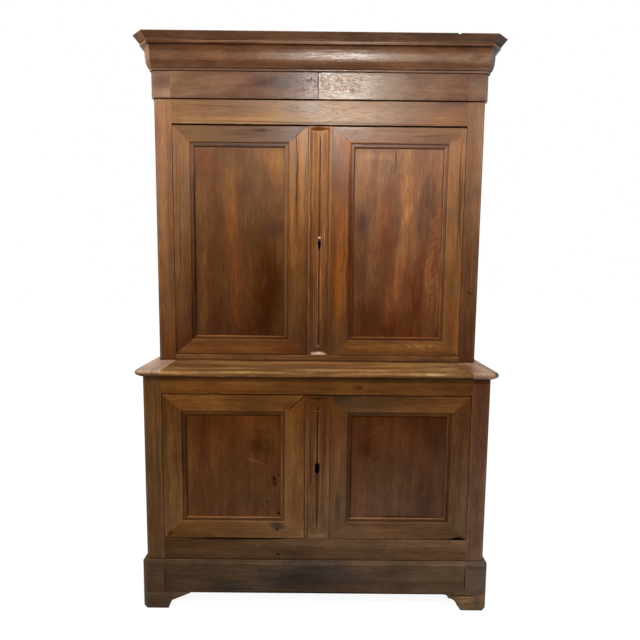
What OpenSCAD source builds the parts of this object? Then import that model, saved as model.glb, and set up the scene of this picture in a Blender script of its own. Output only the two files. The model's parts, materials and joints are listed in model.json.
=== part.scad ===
// Two-part buffet hutch: a base cabinet on a plinth with bracket feet, a board top,
// a set-back upper cabinet with tall doors, and a frieze and cornice box on top.
// Millimetres, +Z up. The front faces -Y. The origin is under the middle of the
// whole piece, on the floor.

/* [Heights, from the floor up] */
// Height of the bracket feet
foot_h = 68; // [55:1:90]
// Height of the plinth boards
plinth_h = 136; // [110:1:170]
// Height of the base cabinet's bottom rail above the plinth
base_bottom_rail_h = 88; // [60:1:120]
// Height of the base cabinet's door opening
base_open_h = 598; // [520:1:680]
// Height of the base cabinet's top rail
base_top_rail_h = 72; // [60:1:110]
// Thickness of the board top
top_t = 25; // [20:1:32]
// Height of the upper cabinet's bottom rail
upper_bottom_rail_h = 26; // [24:1:50]
// Height of the upper cabinet's door opening
upper_open_h = 956; // [840:1:1060]
// Height of the upper cabinet's top rail
upper_top_rail_h = 95; // [70:1:130]
// Height of the plain frieze
frieze_h = 108; // [80:1:140]
// Height of the cornice moulding
cornice_h = 128; // [110:1:150]

/* [Widths and depths] */
// Width of the base cabinet across its posts
base_w = 1370; // [1280:1:1460]
// How far each side of the upper cabinet stands in from the base's
upper_in = 7; // [5:0.5:30]
// Depth of the base cabinet from its front face to its back
base_d = 540; // [500:1:600]
// How far the upper cabinet's front stands behind the base's front
setback = 194; // [150:1:220]
// How far the board top stands out in front
top_front = 32; // [26:1:45]
// How far the board top stands out at each side
top_side = 27; // [20:1:40]
// How far the corner of the board top is cut back
top_cant = 28; // [20:1:36]
// Width of the end board of the top
top_end_w = 107; // [80:1:130]
// Side of the 45 degree cant on each front corner
cant = 9.4; // [7:0.1:12]

/* [Posts, rails and panels] */
// Face width of the base cabinet's front posts
base_post_w = 73; // [64:1:90]
// Face width of the upper cabinet's front posts
upper_post_w = 72; // [64:1:90]
// Depth of the front posts and rails
post_d = 45; // [42:1:60]
// Side of the square rear posts
rear_post = 45; // [36:1:60]
// Thickness of the side rails
side_rail_t = 24; // [22:1:30]
// Face height of the side rails
side_rail_h = 90; // [70:1:110]
// Thickness of the side panels
side_panel_t = 10; // [8:0.5:12]
// How far the side panels lie behind the outer face
side_panel_in = 7; // [5:0.5:9]
// Depth of the grooves that hold panels
groove = 8; // [6:0.5:10]
// Play between a panel and its groove
panel_play = 0.3; // [0.2:0.05:0.5]
// Thickness of the back boards
back_t = 12; // [10:1:16]
// Gap between neighbouring back boards
back_gap = 0.3; // [0.2:0.1:0.5]
// Thickness of the rails that hold the back boards
back_rail_t = 22; // [18:1:28]
// Height of the rails that hold the back boards
back_rail_h = 80; // [60:1:100]
// Thickness of the floor boards and the ceiling board
floor_t = 18; // [15:1:24]
// Thickness of the shelves
shelf_t = 20; // [16:1:26]
// Side of the bearers under floors and shelves
bearer = 20; // [16:1:26]
// How far the shelves start behind the front face
shelf_in = 56; // [54:1:80]
// Number of shelves in the upper cabinet
upper_shelf_count = 3; // [2:1:4]

/* [Doors] */
// Thickness of the door frames
door_t = 24; // [22:1:28]
// Gap between a door and its post
side_gap = 2.5; // [2.3:0.1:3.5]
// Gap between the doors of a pair
meet_gap = 2; // [1.8:0.1:3]
// Gap over the upper doors
upper_top_gap = 4; // [3:0.5:5]
// Gap under the upper doors
upper_bottom_gap = 3; // [2.5:0.5:5]
// Gap over the base doors
base_top_gap = 3; // [2.5:0.5:5]
// Gap under the base doors
base_bottom_gap = 3; // [2.5:0.5:5]
// Flat face of the upper doors' outer stiles
upper_outer_face = 64; // [54:1:80]
// Flat face of the upper doors' inner stiles
upper_inner_face = 74; // [60:1:84]
// Flat face of the upper doors' top rails
upper_top_face = 64; // [54:1:80]
// Flat face of the upper doors' bottom rails
upper_bottom_face = 56; // [50:1:80]
// Flat face of the base doors' outer stiles
base_outer_face = 70; // [56:1:84]
// Flat face of the left base door's inner stile
base_left_inner_face = 74; // [60:1:84]
// Flat face of the right base door's inner stile
base_right_inner_face = 66; // [56:1:84]
// Flat face of the base doors' top rails
base_top_face = 63; // [50:1:80]
// Flat face of the base doors' bottom rails
base_bottom_face = 64; // [50:1:80]
// Width of the outer ovolo round a panel
ovolo_w = 6.5; // [5:0.5:8]
// Depth of the outer ovolo round a panel
ovolo_d = 5; // [4:0.5:6]
// Width of the sunk band between the two ovolos
band_w = 10; // [7:0.5:13]
// Width and depth of the inner ovolo, next to the panel
inner_ovolo = 6; // [5:0.5:7]
// Thickness of the door panels
door_panel_t = 8; // [7:0.5:9]

/* [Middle strips] */
// Width of the strip on the meeting edge of each right door
strip_w = 96; // [90:1:110]
// How far the strip's middle lies to the right of the hutch's middle
strip_off = 4; // [0:0.5:8]
// How far the strip stands proud of the doors
strip_proud = 3; // [2:0.5:5]
// Flat border of the strip
strip_border = 7; // [5:0.5:8]
// Width of the bevel that sinks from the border
strip_bevel = 10; // [8:0.5:12]
// Depth of the bevel
strip_sink = 7; // [5:0.5:8]
// Flat at the foot of the bevel
strip_flat = 7; // [5:0.5:8]
// How far the inner field rises from that flat
strip_rise = 4; // [3:0.5:5]
// Half the width of the groove down the middle
strip_groove = 3; // [2:0.5:4]

/* [Pivots, locks and bolts] */
// Radius of the pivot pins that the doors turn on
pivot_r = 4; // [3:0.25:5]
// Radial clearance of every pin and rod in its bore
run_clear = 0.05; // [0.03:0.01:0.09]
// Distance from a door's edge to its pivot axis
pivot_in = 16; // [14:0.5:20]
// Distance from a door's face to its pivot axis
pivot_back = 8; // [7:0.5:8.5]
// How deep a pivot pin reaches into its door
pivot_reach = 20; // [14:1:26]
// Thickness of the plates that carry the pins
pivot_plate_t = 3; // [2.5:0.5:4]
// Width of the lock cases
lock_w = 68; // [62:1:76]
// Height of the lock cases
lock_h = 90; // [80:1:110]
// Thickness of the lock cases
lock_t = 14; // [12:0.5:15]
// Wall of the lock cases
lock_wall = 2; // [1.5:0.25:2.5]
// Height of the lock bolts
latch_h = 30; // [24:1:36]
// Thickness of the lock bolts
latch_t = 7; // [6:0.5:8]
// Travel of the lock bolts
latch_travel = 12; // [8:1:14]
// Width of the keyholes
key_w = 12; // [10:0.5:14]
// Height of the keyholes
key_h = 40; // [32:1:48]
// Height of the upper keyhole's middle above the upper door opening's bottom
upper_key_z = 468; // [430:1:510]
// Height of the base keyhole's middle above the base door opening's bottom
base_key_z = 288; // [240:1:330]
// Radius of the rods of the surface bolts
rod_r = 4.5; // [4:0.25:5]
// Length of the rods of the surface bolts
rod_len = 100; // [95:1:120]
// Travel of the surface bolts
rod_travel = 16; // [12:1:18]

/* [Feet, frieze and cornice] */
// How far the plinth stands out from the cabinet
plinth_out = 16; // [10:1:22]
// Height of the chamfer on the plinth's top edge
plinth_chamfer = 10; // [6:1:12]
// Width of each front foot at the floor
foot_w = 105; // [85:1:120]
// How far the left bracket reaches past its foot
plain_reach = 88; // [70:1:100]
// How far the right bracket reaches past its foot
scroll_reach = 72; // [60:1:85]
// Thickness of the bracket feet
foot_t = 38; // [30:1:48]
// How far the frieze stands out from the cabinet
frieze_out = 8; // [5:0.5:10]
// Thickness of the frieze and cornice boards behind the cabinet's face
crown_back = 15; // [12:0.5:15]
// How far the cornice's top edge stands out from the cabinet
cornice_out = 70; // [62:1:80]
// Height of the sloping fascia
fascia_h = 25; // [20:1:30]
// How far the fascia slopes back
fascia_slope = 20; // [14:1:26]
// Height of the fillet under the fascia
fillet_h = 12; // [8:0.5:14]
// Height of the cove
cove_h = 19; // [14:1:24]
// Depth of the cove
cove_d = 11; // [8:1:13]
// Width of the step between the cove and the fillet
cove_step = 6; // [4:1:8]
// Height of the bead over the frieze
bead_h = 9; // [7:0.5:11]
// How far the bead stands out from the frieze
bead_out = 7; // [5:0.5:9]
// Thickness of the dust board in the cornice
lid_t = 12; // [9:1:16]

/* [Hidden] */
$fn = 48;
arc_steps = 7;
eps = 1;
// Clearance between a moving piece and what it passes
pass = 0.5;
// Clearance of a fixed piece from the one that it sits between
snug = 0.3;
tan_mitre = tan(22.5);

// Heights
z_plinth = foot_h;
z_base = foot_h + plinth_h;
z_open0 = z_base + base_bottom_rail_h;
z_open1 = z_open0 + base_open_h;
z_top0 = z_open1 + base_top_rail_h;
z_top1 = z_top0 + top_t;
u_open0 = z_top1 + upper_bottom_rail_h;
u_open1 = u_open0 + upper_open_h;
u_top = u_open1 + upper_top_rail_h;
z_cornice = u_top + frieze_h;
z_total = z_cornice + cornice_h;

// Planes
total_d = base_d + top_front;
y_front = -total_d / 2 + top_front;
y_back = total_d / 2;
y_upper = y_front + setback;
base_hw = base_w / 2;
upper_hw = base_hw - upper_in;
base_ohw = base_hw - base_post_w;
upper_ohw = upper_hw - upper_post_w;
top_hw = base_hw + top_side;

// Meeting line of each pair of doors
strip_x0 = strip_off - strip_w / 2;
strip_x1 = strip_off + strip_w / 2;
left_door_x1 = strip_x0 - meet_gap;
mould_w = ovolo_w + band_w + inner_ovolo;
panel_face = ovolo_d + inner_ovolo;
panel_edge = groove - panel_play;

// The rail behind the plinth keeps this much of its height hidden
rail_hidden = plinth_h / 3;
// Rear edges of the boards that end at the back's rails, and of those that reach its boards
y_boards = y_back - back_t - snug;
y_rail = y_boards - back_rail_t;

// Surface bolts on the left doors
rod_y = door_t + 2 + rod_r + 2;
rod_x = left_door_x1 - 30;
staple_h = 10;
staple_w = 2 * rod_r + 9;
staple_d = rod_y + rod_r + 3 - door_t;
staple_gap = 62;
bolt_drop = 3;
bolt_plate_h = 92;
bolt_plate_w = 26;
bolt_plate_t = 2;
rod_knob_r = 4;
rod_knob_len = 8;

// Locks
latch_len = lock_w - 2 * lock_wall - latch_travel;
lock_x0 = strip_x0;
key_x = strip_off;

// Top rails: as thin as the doors and the play behind them, so that the bolts shoot up
// behind them, with the upper ceiling above the bolt's tip
top_rail_d = door_t + pass;
ceiling_rise = rod_travel + bolt_drop;

// Colours
walnut = [0.50, 0.33, 0.20];
walnut_dark = [0.36, 0.22, 0.13];
walnut_pale = [0.58, 0.42, 0.27];
plinth_brown = [0.25, 0.18, 0.13];
inside_wood = [0.55, 0.43, 0.30];
iron = [0.30, 0.28, 0.27];
brass = [0.55, 0.45, 0.28];

// Basic shapes

// Box between two corners
module block(lo, hi) {
  translate(lo) cube(hi - lo);
}

// Both a piece and its mirror image about the hutch's middle
module both_sides() {
  children();
  mirror([1, 0, 0]) children();
}

// Prism over an outline in X and Z, from y0 to y1
module face_prism(points, y0, y1) {
  translate([0, y1, 0]) rotate([90, 0, 0]) linear_extrude(y1 - y0) polygon(points);
}

// Prism over an outline in Y and Z, from x0 to x1
module side_prism(points, x0, x1) {
  translate([x0, 0, 0]) rotate([90, 0, 90]) linear_extrude(x1 - x0) polygon(points);
}

// Prism over an outline in X and Y, from z0 to z1
module plan_prism(points, z0, z1) {
  translate([0, 0, z0]) linear_extrude(z1 - z0) polygon(points);
}

// Points of an arc in a plane
function arc(cx, cy, rx, ry, a0, a1, steps) =
  [for (i = [0:steps]) let (a = a0 + (a1 - a0) * i / steps) [cx + rx * cos(a), cy + ry * sin(a)]];

// Front corner of an outline that stands out by p, and the back end of its cant
function front_corner(hw, y0, p) = [hw - cant + p * tan_mitre, y0 - p];
function cant_end(hw, y0, p) = [hw + p, y0 + cant - p * tan_mitre];

// Front posts with their canted corners, and square rear posts
module posts(hw, y0, post_w, z0, z1, groove_z0, groove_z1) {
  panel_x1 = hw - side_panel_in;
  panel_x0 = panel_x1 - side_panel_t - panel_play;
  both_sides() {
    difference() {
      plan_prism([
        [hw - post_w, y0], front_corner(hw, y0, 0), cant_end(hw, y0, 0),
        [hw, y0 + post_d], [hw - post_w, y0 + post_d]
      ], z0, z1);
      block([panel_x0, y0 + post_d - groove, groove_z0], [panel_x1, y0 + post_d + eps, groove_z1]);
    }
    difference() {
      block([hw - rear_post, y_back - rear_post, z0], [hw, y_back, z1]);
      block([panel_x0, y_back - rear_post - eps, groove_z0],
            [panel_x1, y_back - rear_post + groove, groove_z1]);
    }
  }
}

// Side rails at top and bottom with their panel grooves, and the rails of the back
module frame_rails(hw, y0, z0, z1) {
  panel_x1 = hw - side_panel_in;
  panel_x0 = panel_x1 - side_panel_t - panel_play;
  ya = y0 + post_d;
  yb = y_back - rear_post;
  both_sides() {
    difference() {
      block([hw - side_rail_t, ya, z0], [hw, yb, z0 + side_rail_h]);
      block([panel_x0, ya - eps, z0 + side_rail_h - groove],
            [panel_x1, yb + eps, z0 + side_rail_h + eps]);
    }
    difference() {
      block([hw - side_rail_t, ya, z1 - side_rail_h], [hw, yb, z1]);
      block([panel_x0, ya - eps, z1 - side_rail_h - eps],
            [panel_x1, yb + eps, z1 - side_rail_h + groove]);
    }
  }
  for (z = [z0, z1 - back_rail_h])
    block([-hw + rear_post, y_back - back_t - back_rail_t, z],
          [hw - rear_post, y_back - back_t, z + back_rail_h]);
}

module side_panels(hw, y0, z0, z1) {
  x1 = hw - side_panel_in;
  both_sides()
    block([x1 - side_panel_t, y0 + post_d - panel_edge, z0 + side_rail_h - panel_edge],
          [x1, y_back - rear_post + panel_edge, z1 - side_rail_h + panel_edge]);
}

// Upright boards side by side across the back
module back_boards(hw, z0, z1, count) {
  span = 2 * (hw - rear_post);
  w = span / count;
  for (i = [0:count - 1])
    block([-span / 2 + i * w + back_gap / 2, y_back - back_t, z0],
          [-span / 2 + (i + 1) * w - back_gap / 2, y_back, z1]);
}

// Board between the sides from y0 to y1, with its underside at z1 - t, notched round
// the rear posts
module inner_board(hw, y0, y1, z1, t) {
  x = hw - side_rail_t - snug;
  difference() {
    block([-x, y0, z1 - t], [x, y1, z1]);
    both_sides()
      block([hw - rear_post - snug, y_back - rear_post - snug, z1 - t - eps], [hw, y_back, z1 + eps]);
  }
}

// Pair of bearers of height h along the sides, under a board whose underside is at z
module bearer_pair(hw, y0, z, h) {
  both_sides()
    block([hw - side_rail_t - bearer, y0 + post_d, z - h],
          [hw - side_rail_t, y_back - rear_post - snug, z]);
}

// Packing that fills between the bearers and the thinner side panels
module bearer_pads(hw, y0, z, h) {
  both_sides()
    block([hw - side_rail_t, y0 + post_d + snug, z - h],
          [hw - side_panel_in - side_panel_t, y_back - rear_post - snug, z]);
}

// Pivot axes: one per door, [x, which side, y of the axis]
function left_pivot_x(ohw) = -ohw + side_gap + pivot_in;
function right_pivot_x(ohw) = ohw - side_gap - pivot_in;

// Recess in a rail for the two pivot plates at height z, cut upwards or downwards
pivot_plate_w = 16;
pivot_plate_len = 52;
module pivot_plates(ohw, y0, z, up, grow) {
  z0 = up > 0 ? z - grow : z - pivot_plate_t;
  z1 = up > 0 ? z + pivot_plate_t : z + grow;
  for (x = [left_pivot_x(ohw), right_pivot_x(ohw)]) {
    inner = x < 0 ? x - pivot_in + 3 : x + pivot_in - 3 - pivot_plate_len;
    block([inner, y0 + pivot_back - pivot_r - 2, z0],
          [inner + pivot_plate_len, y0 + pivot_back - pivot_r - 2 + pivot_plate_w, z1]);
  }
}

module pivot_pins(ohw, y0, z, up, gap) {
  reach = pivot_plate_t + gap + pivot_reach;
  for (x = [left_pivot_x(ohw), right_pivot_x(ohw)])
    translate([x, y0 + pivot_back, up > 0 ? z + pivot_plate_t - reach : z - pivot_plate_t])
      cylinder(h = reach, r = pivot_r);
}

// Front rail of depth d across the posts
module front_rail(ohw, y0, z0, z1, d) {
  block([-ohw, y0, z0], [ohw, y0 + d, z1]);
}

// Doors

// Cross-section of a frame member: u from the outer edge inwards, v from the face back
function member_profile(face) = concat(
  [[0, 0]],
  arc(face, ovolo_d, ovolo_w, ovolo_d, -90, 0, arc_steps),
  arc(face + ovolo_w + band_w, panel_face, inner_ovolo, inner_ovolo, -90, 0, arc_steps),
  [
    [face + mould_w - groove, panel_face],
    [face + mould_w - groove, panel_face + door_panel_t],
    [face + mould_w, panel_face + door_panel_t],
    [face + mould_w, door_t],
    [0, door_t]
  ]);

// Bores for the pins at the top and bottom of a door
module pivot_bores(px, y0, z0, z1) {
  depth = pivot_reach + 2;
  for (z = [z0 - eps, z1 - depth])
    translate([px, y0 + pivot_back, z]) cylinder(h = depth + eps, r = pivot_r + run_clear);
}

// The stiles of a door frame between x0 and x1, mitred at their ends
module door_stiles(x0, x1, y0, z0, z1, left_face, right_face, top_face, bottom_face, px) {
  h = z1 - z0;
  w = x1 - x0;
  difference() {
    union() {
      translate([x0, y0, z0]) intersection() {
        linear_extrude(h) polygon(member_profile(left_face));
        face_prism([
          [0, 0], [left_face, bottom_face], [left_face + mould_w, bottom_face + mould_w],
          [left_face + mould_w, h - top_face - mould_w], [left_face, h - top_face], [0, h]
        ], 0, door_t);
      }
      translate([x1, y0, z0]) mirror([1, 0, 0]) intersection() {
        linear_extrude(h) polygon(member_profile(right_face));
        face_prism([
          [0, 0], [right_face, bottom_face], [right_face + mould_w, bottom_face + mould_w],
          [right_face + mould_w, h - top_face - mould_w], [right_face, h - top_face], [0, h]
        ], 0, door_t);
      }
    }
    pivot_bores(px, y0, z0, z1);
  }
}

// The rails of a door frame, mitred at their ends
module door_rails(x0, x1, y0, z0, z1, left_face, right_face, top_face, bottom_face, px) {
  w = x1 - x0;
  difference() {
    union() {
      translate([x0, y0, z1]) intersection() {
        rotate([0, 90, 0]) linear_extrude(w) polygon(member_profile(top_face));
        face_prism([
          [0, 0], [w, 0], [w - right_face, -top_face],
          [w - right_face - mould_w, -top_face - mould_w],
          [left_face + mould_w, -top_face - mould_w], [left_face, -top_face]
        ], 0, door_t);
      }
      translate([x0, y0, z0]) mirror([0, 0, 1]) intersection() {
        rotate([0, 90, 0]) linear_extrude(w) polygon(member_profile(bottom_face));
        face_prism([
          [0, 0], [w, 0], [w - right_face, -bottom_face],
          [w - right_face - mould_w, -bottom_face - mould_w],
          [left_face + mould_w, -bottom_face - mould_w], [left_face, -bottom_face]
        ], 0, door_t);
      }
    }
    pivot_bores(px, y0, z0, z1);
  }
}

module door_panel(x0, x1, y0, z0, z1, left_face, right_face, top_face, bottom_face) {
  block([x0 + left_face + mould_w - panel_edge, y0 + panel_face, z0 + bottom_face + mould_w - panel_edge],
        [x1 - right_face - mould_w + panel_edge, y0 + panel_face + door_panel_t,
         z1 - top_face - mould_w + panel_edge]);
}

// Middle plane of a latch, which shoots behind the left door's stile
function latch_y(y0) = y0 + door_t + pass + latch_t / 2;

// Strip on the meeting edge of a right door. Its face is a border that sinks to a flat
// and rises again to a field with a groove down the middle, mitred at both ends.
function strip_profile() = let (
  half = strip_w / 2,
  flat_v = strip_sink - strip_proud,
  field_v = flat_v - strip_rise,
  u1 = strip_border,
  u2 = u1 + strip_bevel,
  u3 = u2 + strip_flat,
  u4 = half - strip_groove - 3
) [
  [0, -strip_proud], [u1, -strip_proud], [u2, flat_v], [u3, flat_v], [u3 + 1, flat_v - 1],
  [u4, field_v], [half - strip_groove, field_v], [half, flat_v], [half, door_t], [0, door_t]
];

module strip_run(run_len) {
  intersection() {
    linear_extrude(run_len) polygon(strip_profile());
    face_prism([[0, 0], [strip_w / 2, strip_w / 2], [strip_w / 2, run_len - strip_w / 2], [0, run_len]],
               -strip_proud - eps, door_t + eps);
  }
}

module strip_end() {
  intersection() {
    rotate([0, 90, 0]) linear_extrude(strip_w) polygon(strip_profile());
    face_prism([[0, 0], [strip_w, 0], [strip_w / 2, -strip_w / 2]], -strip_proud - eps, door_t + eps);
  }
}

// Keyhole slot with round ends, from y0 to y1
module key_slot(y0, y1, z, w, h) {
  translate([key_x, y1, z]) rotate([90, 0, 0]) linear_extrude(y1 - y0) {
    translate([0, h / 2 - w / 2]) circle(w / 2);
    translate([0, w / 2 - h / 2]) circle(w / 2);
    square([w, h - w], center = true);
  }
}

module strip(y0, z0, z1, key_z) {
  h = z1 - z0;
  difference() {
    translate([strip_x0, y0, z0]) {
      strip_run(h);
      translate([strip_w, 0, 0]) mirror([1, 0, 0]) strip_run(h);
      translate([0, 0, h]) strip_end();
      mirror([0, 0, 1]) strip_end();
    }
    key_slot(y0 - strip_proud - eps, y0 + door_t + eps, key_z, key_w, key_h);
  }
}

// Lock case on the back of the strip, open towards it, with a mouth for the latch
module lock_case(y0, z) {
  ya = y0 + door_t;
  yb = ya + lock_t;
  yc = latch_y(y0);
  difference() {
    block([lock_x0, ya, z - lock_h / 2], [lock_x0 + lock_w, yb, z + lock_h / 2]);
    block([lock_x0 + lock_wall, ya - eps, z - lock_h / 2 + lock_wall],
          [lock_x0 + lock_w - lock_wall, yb - lock_wall, z + lock_h / 2 - lock_wall]);
    block([lock_x0 - eps, ya - eps, z - latch_h / 2 - snug],
          [lock_x0 + 2 * lock_wall, yc + latch_t / 2 + snug, z + latch_h / 2 + snug]);
  }
}

// Latch of a lock, its head flush with the case when drawn back
module lock_latch(y0, z) {
  yc = latch_y(y0);
  block([lock_x0, yc - latch_t / 2, z - latch_h / 2],
        [lock_x0 + latch_len, yc + latch_t / 2, z + latch_h / 2]);
}

// Plate with two staples on the back of a left door whose top is at z
module bolt_plate(y0, z) {
  z_plate = z - bolt_drop - bolt_plate_h;
  difference() {
    union() {
      block([rod_x - bolt_plate_w / 2, y0 + door_t, z_plate],
            [rod_x + bolt_plate_w / 2, y0 + door_t + bolt_plate_t, z_plate + bolt_plate_h]);
      for (side = [-1, 1]) {
        z_staple = z_plate + bolt_plate_h / 2 + side * staple_gap / 2;
        block([rod_x - staple_w / 2, y0 + door_t, z_staple - staple_h / 2],
              [rod_x + staple_w / 2, y0 + door_t + staple_d, z_staple + staple_h / 2]);
      }
    }
    translate([rod_x, y0 + rod_y, z_plate - eps])
      cylinder(h = bolt_plate_h + 2 * eps, r = rod_r + run_clear);
  }
}

// Rod of a surface bolt with its knob, drawn back; it shoots up behind the top rail
module bolt_rod(y0, z) {
  knob_z = z - bolt_drop - bolt_plate_h / 2 - rod_travel / 2;
  translate([rod_x, y0 + rod_y, z - bolt_drop - rod_len]) cylinder(h = rod_len, r = rod_r);
  translate([rod_x, y0 + rod_y, knob_z]) rotate([-90, 0, 0])
    cylinder(h = rod_r + rod_knob_len, r = rod_knob_r - 1);
}

// Plinth and feet

// Everything behind three faces: a front, two canted corners and two sides. The
// outline lies in Y and Z, with its face towards -Y.
module wrapped(hw, corner, y0, outline) {
  far = 2 * base_w;
  intersection() {
    translate([0, y0, 0]) side_prism(outline, -far, far);
    intersection_for (side = [-1, 1])
      translate([side * (hw - corner), y0, 0]) rotate([0, 0, side * 45]) side_prism(outline, -far, far);
    intersection_for (side = [-1, 1])
      translate([side * hw, y0, 0]) rotate([0, 0, side * 90]) side_prism(outline, -far, far);
  }
}

// Everything inside the plinth's faces, with the chamfer round its top edge
module plinth_body() {
  far = 2 * base_w;
  wrapped(base_hw, cant, y_front, [
    [-plinth_out, z_plinth], [-plinth_out, z_base - plinth_chamfer],
    [-plinth_out + plinth_chamfer, z_base], [far, z_base], [far, z_plinth]
  ]);
}

// Outline of the left foot, a bracket cut straight, from the corner inwards
function plain_bracket(x0) = [
  [x0, 0], [x0 - foot_w, 0], [x0 - foot_w - plain_reach / 6, foot_h / 2],
  [x0 - foot_w - plain_reach, foot_h - 3], [x0 - foot_w - plain_reach - 3, foot_h], [x0, foot_h]
];
// Outline of the right foot, a bracket with a lobe and a shoulder
function scroll_bracket(x0) = let (
  lobe = scroll_reach * 0.52,
  shoulder = scroll_reach * 0.26,
  tip = x0 - foot_w - scroll_reach + shoulder,
  lobe_top = foot_h * 0.77
) concat(
  [[x0, 0], [x0 - foot_w, 0]],
  arc(tip, lobe_top * 0.2, lobe, lobe_top * 0.8, 20, 90, arc_steps),
  arc(tip - shoulder, lobe_top, shoulder, foot_h - lobe_top, 0, 90, arc_steps),
  [[x0, foot_h]]);

// Front foot on the +X side: a bracket on the front and one on the side
module front_foot(points_front, points_side) {
  x_out = base_hw + plinth_out;
  y_out = y_front - plinth_out;
  intersection() {
    union() {
      face_prism(points_front, y_out, y_out + foot_t);
      difference() {
        side_prism(points_side, x_out - foot_t, x_out);
        block([0, y_out - eps, -eps], [x_out + eps, y_out + foot_t + snug, foot_h + eps]);
      }
    }
    plan_prism([
      [0, y_out], front_corner(base_hw, y_front, plinth_out), cant_end(base_hw, y_front, plinth_out),
      [x_out, y_back], [0, y_back]
    ], 0, foot_h);
  }
}

// The bracket outline turned to run back along the side
function along_side(points) =
  [for (p = points) [y_front - plinth_out + (base_hw + plinth_out - p[0]), p[1]]];

// Frieze and cornice

// Cross-section of the cornice: each point is how far it stands out, and its height
cove_top = z_total - fascia_h - fillet_h;
bulge_top = cove_top - cove_h;
bulge_bottom = z_cornice + bead_h;
bead_face = frieze_out + bead_out;
fillet_out = cornice_out - fascia_slope - 3;
bulge_out = fillet_out - cove_step - cove_d;
function cornice_profile() = concat(
  [[-crown_back, z_cornice], [bead_face - 2, z_cornice]],
  arc(bead_face - 2, z_cornice + bead_h / 2, 2, bead_h / 2, -90, 90, 6),
  arc(bead_face, bulge_top, bulge_out - bead_face, bulge_top - bulge_bottom, -90, 0, 12),
  arc(bulge_out + cove_d, bulge_top, cove_d, cove_h, 170, 90, arc_steps),
  [
    [fillet_out, cove_top], [fillet_out, cove_top + fillet_h],
    [cornice_out - fascia_slope, cove_top + fillet_h],
    [cornice_out, z_total - 2], [cornice_out, z_total], [-crown_back, z_total]
  ]);

// A straight length of cornice that stands out along -Y from the plane y = 0
module cornice_run(x0, x1) {
  side_prism([for (q = cornice_profile()) [-q[0], q[1]]], x0, x1);
}

far_out = 90;
module cornice_front() {
  a = front_corner(upper_hw, y_upper, far_out);
  b = front_corner(upper_hw, y_upper, -crown_back);
  color(walnut_dark) intersection() {
    translate([0, y_upper, 0]) cornice_run(-base_w, base_w);
    plan_prism([a, [-a[0], a[1]], [-b[0], b[1]], b], z_cornice - eps, z_total + eps);
  }
}

module cornice_corners() {
  a = front_corner(upper_hw, y_upper, far_out);
  b = cant_end(upper_hw, y_upper, far_out);
  c = cant_end(upper_hw, y_upper, -crown_back);
  d = front_corner(upper_hw, y_upper, -crown_back);
  color(walnut_dark) both_sides() intersection() {
    translate([upper_hw - cant, y_upper, 0]) rotate([0, 0, 45]) cornice_run(-200, 200);
    plan_prism([a, b, c, d], z_cornice - eps, z_total + eps);
  }
}

module cornice_sides() {
  a = cant_end(upper_hw, y_upper, far_out);
  b = cant_end(upper_hw, y_upper, -crown_back);
  color(walnut_dark) both_sides() intersection() {
    translate([upper_hw, y_upper, 0]) rotate([0, 0, 90]) cornice_run(-base_d, base_d);
    plan_prism([a, [a[0], y_back], [b[0], y_back], b], z_cornice - eps, z_total + eps);
  }
}

// Dust board inside the cornice, and the board that closes the frieze at the back
module crown_boards() {
  x = upper_hw - crown_back;
  color(inside_wood) {
    block([-x + snug, y_upper + crown_back + snug, z_cornice], [x - snug, y_back, z_cornice + lid_t]);
    block([-x, y_back - back_rail_t, u_top], [x, y_back, z_cornice - snug]);
  }
}

module frieze_front() {
  seam = -6;
  joint = snug;
  y0 = y_upper - frieze_out;
  y1 = y_upper + crown_back;
  color(walnut) {
    block([-upper_ohw, y0, u_top], [seam - joint / 2, y1, z_cornice]);
    block([seam + joint / 2, y0, u_top], [upper_ohw, y1, z_cornice]);
  }
}

module frieze_corners() {
  color(walnut) both_sides() plan_prism([
    [upper_ohw, y_upper - frieze_out], front_corner(upper_hw, y_upper, frieze_out),
    cant_end(upper_hw, y_upper, frieze_out), [upper_hw + frieze_out, y_upper + post_d],
    [upper_ohw, y_upper + post_d]
  ], u_top, z_cornice);
}

module frieze_sides() {
  color(walnut) both_sides()
    block([upper_hw - crown_back, y_upper + post_d, u_top], [upper_hw + frieze_out, y_back, z_cornice]);
}

// Base cabinet

module base_posts() {
  color(walnut_dark)
    posts(base_hw, y_front, base_post_w, z_plinth, z_top0,
          z_base + side_rail_h - groove, z_top0 - side_rail_h + groove);
}

module base_top_rail() {
  color(walnut_dark) difference() {
    front_rail(base_ohw, y_front, z_open1, z_top0, top_rail_d);
    pivot_plates(base_ohw, y_front, z_open1, 1, eps);
  }
}

module base_bottom_rail() {
  color(walnut_dark) difference() {
    front_rail(base_ohw, y_front, z_base - rail_hidden, z_open0, post_d);
    pivot_plates(base_ohw, y_front, z_open0, -1, eps);
  }
}

module base_frame_rails() {
  color(walnut_dark) frame_rails(base_hw, y_front, z_base, z_top0);
}

module base_side_panels() {
  color(walnut_dark) side_panels(base_hw, y_front, z_base, z_top0);
}

module base_back_boards() {
  color(inside_wood) back_boards(base_hw, z_base, z_top0, 6);
}

module base_floor() {
  color(inside_wood) inner_board(base_hw, y_front + post_d + snug, y_rail, z_open0, floor_t);
}

base_shelf_z = z_open0 + base_open_h * 0.48;
module base_shelf() {
  color(inside_wood) inner_board(base_hw, y_front + shelf_in, y_boards, base_shelf_z, shelf_t);
}

module base_bearers() {
  color(inside_wood) {
    bearer_pair(base_hw, y_front, z_open0 - floor_t, bearer);
    bearer_pair(base_hw, y_front, base_shelf_z - shelf_t, bearer);
    bearer_pads(base_hw, y_front, base_shelf_z - shelf_t, bearer);
  }
}

// Everything inside the board top's rounded nosing
nose_r = top_t / 2;
module top_body() {
  far = 2 * base_w;
  wrapped(top_hw, top_cant, y_front - top_front, concat(
    arc(nose_r, z_top0 + nose_r, nose_r, nose_r, 270, 90, 12), [[far, z_top1], [far, z_top0]]));
}

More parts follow.
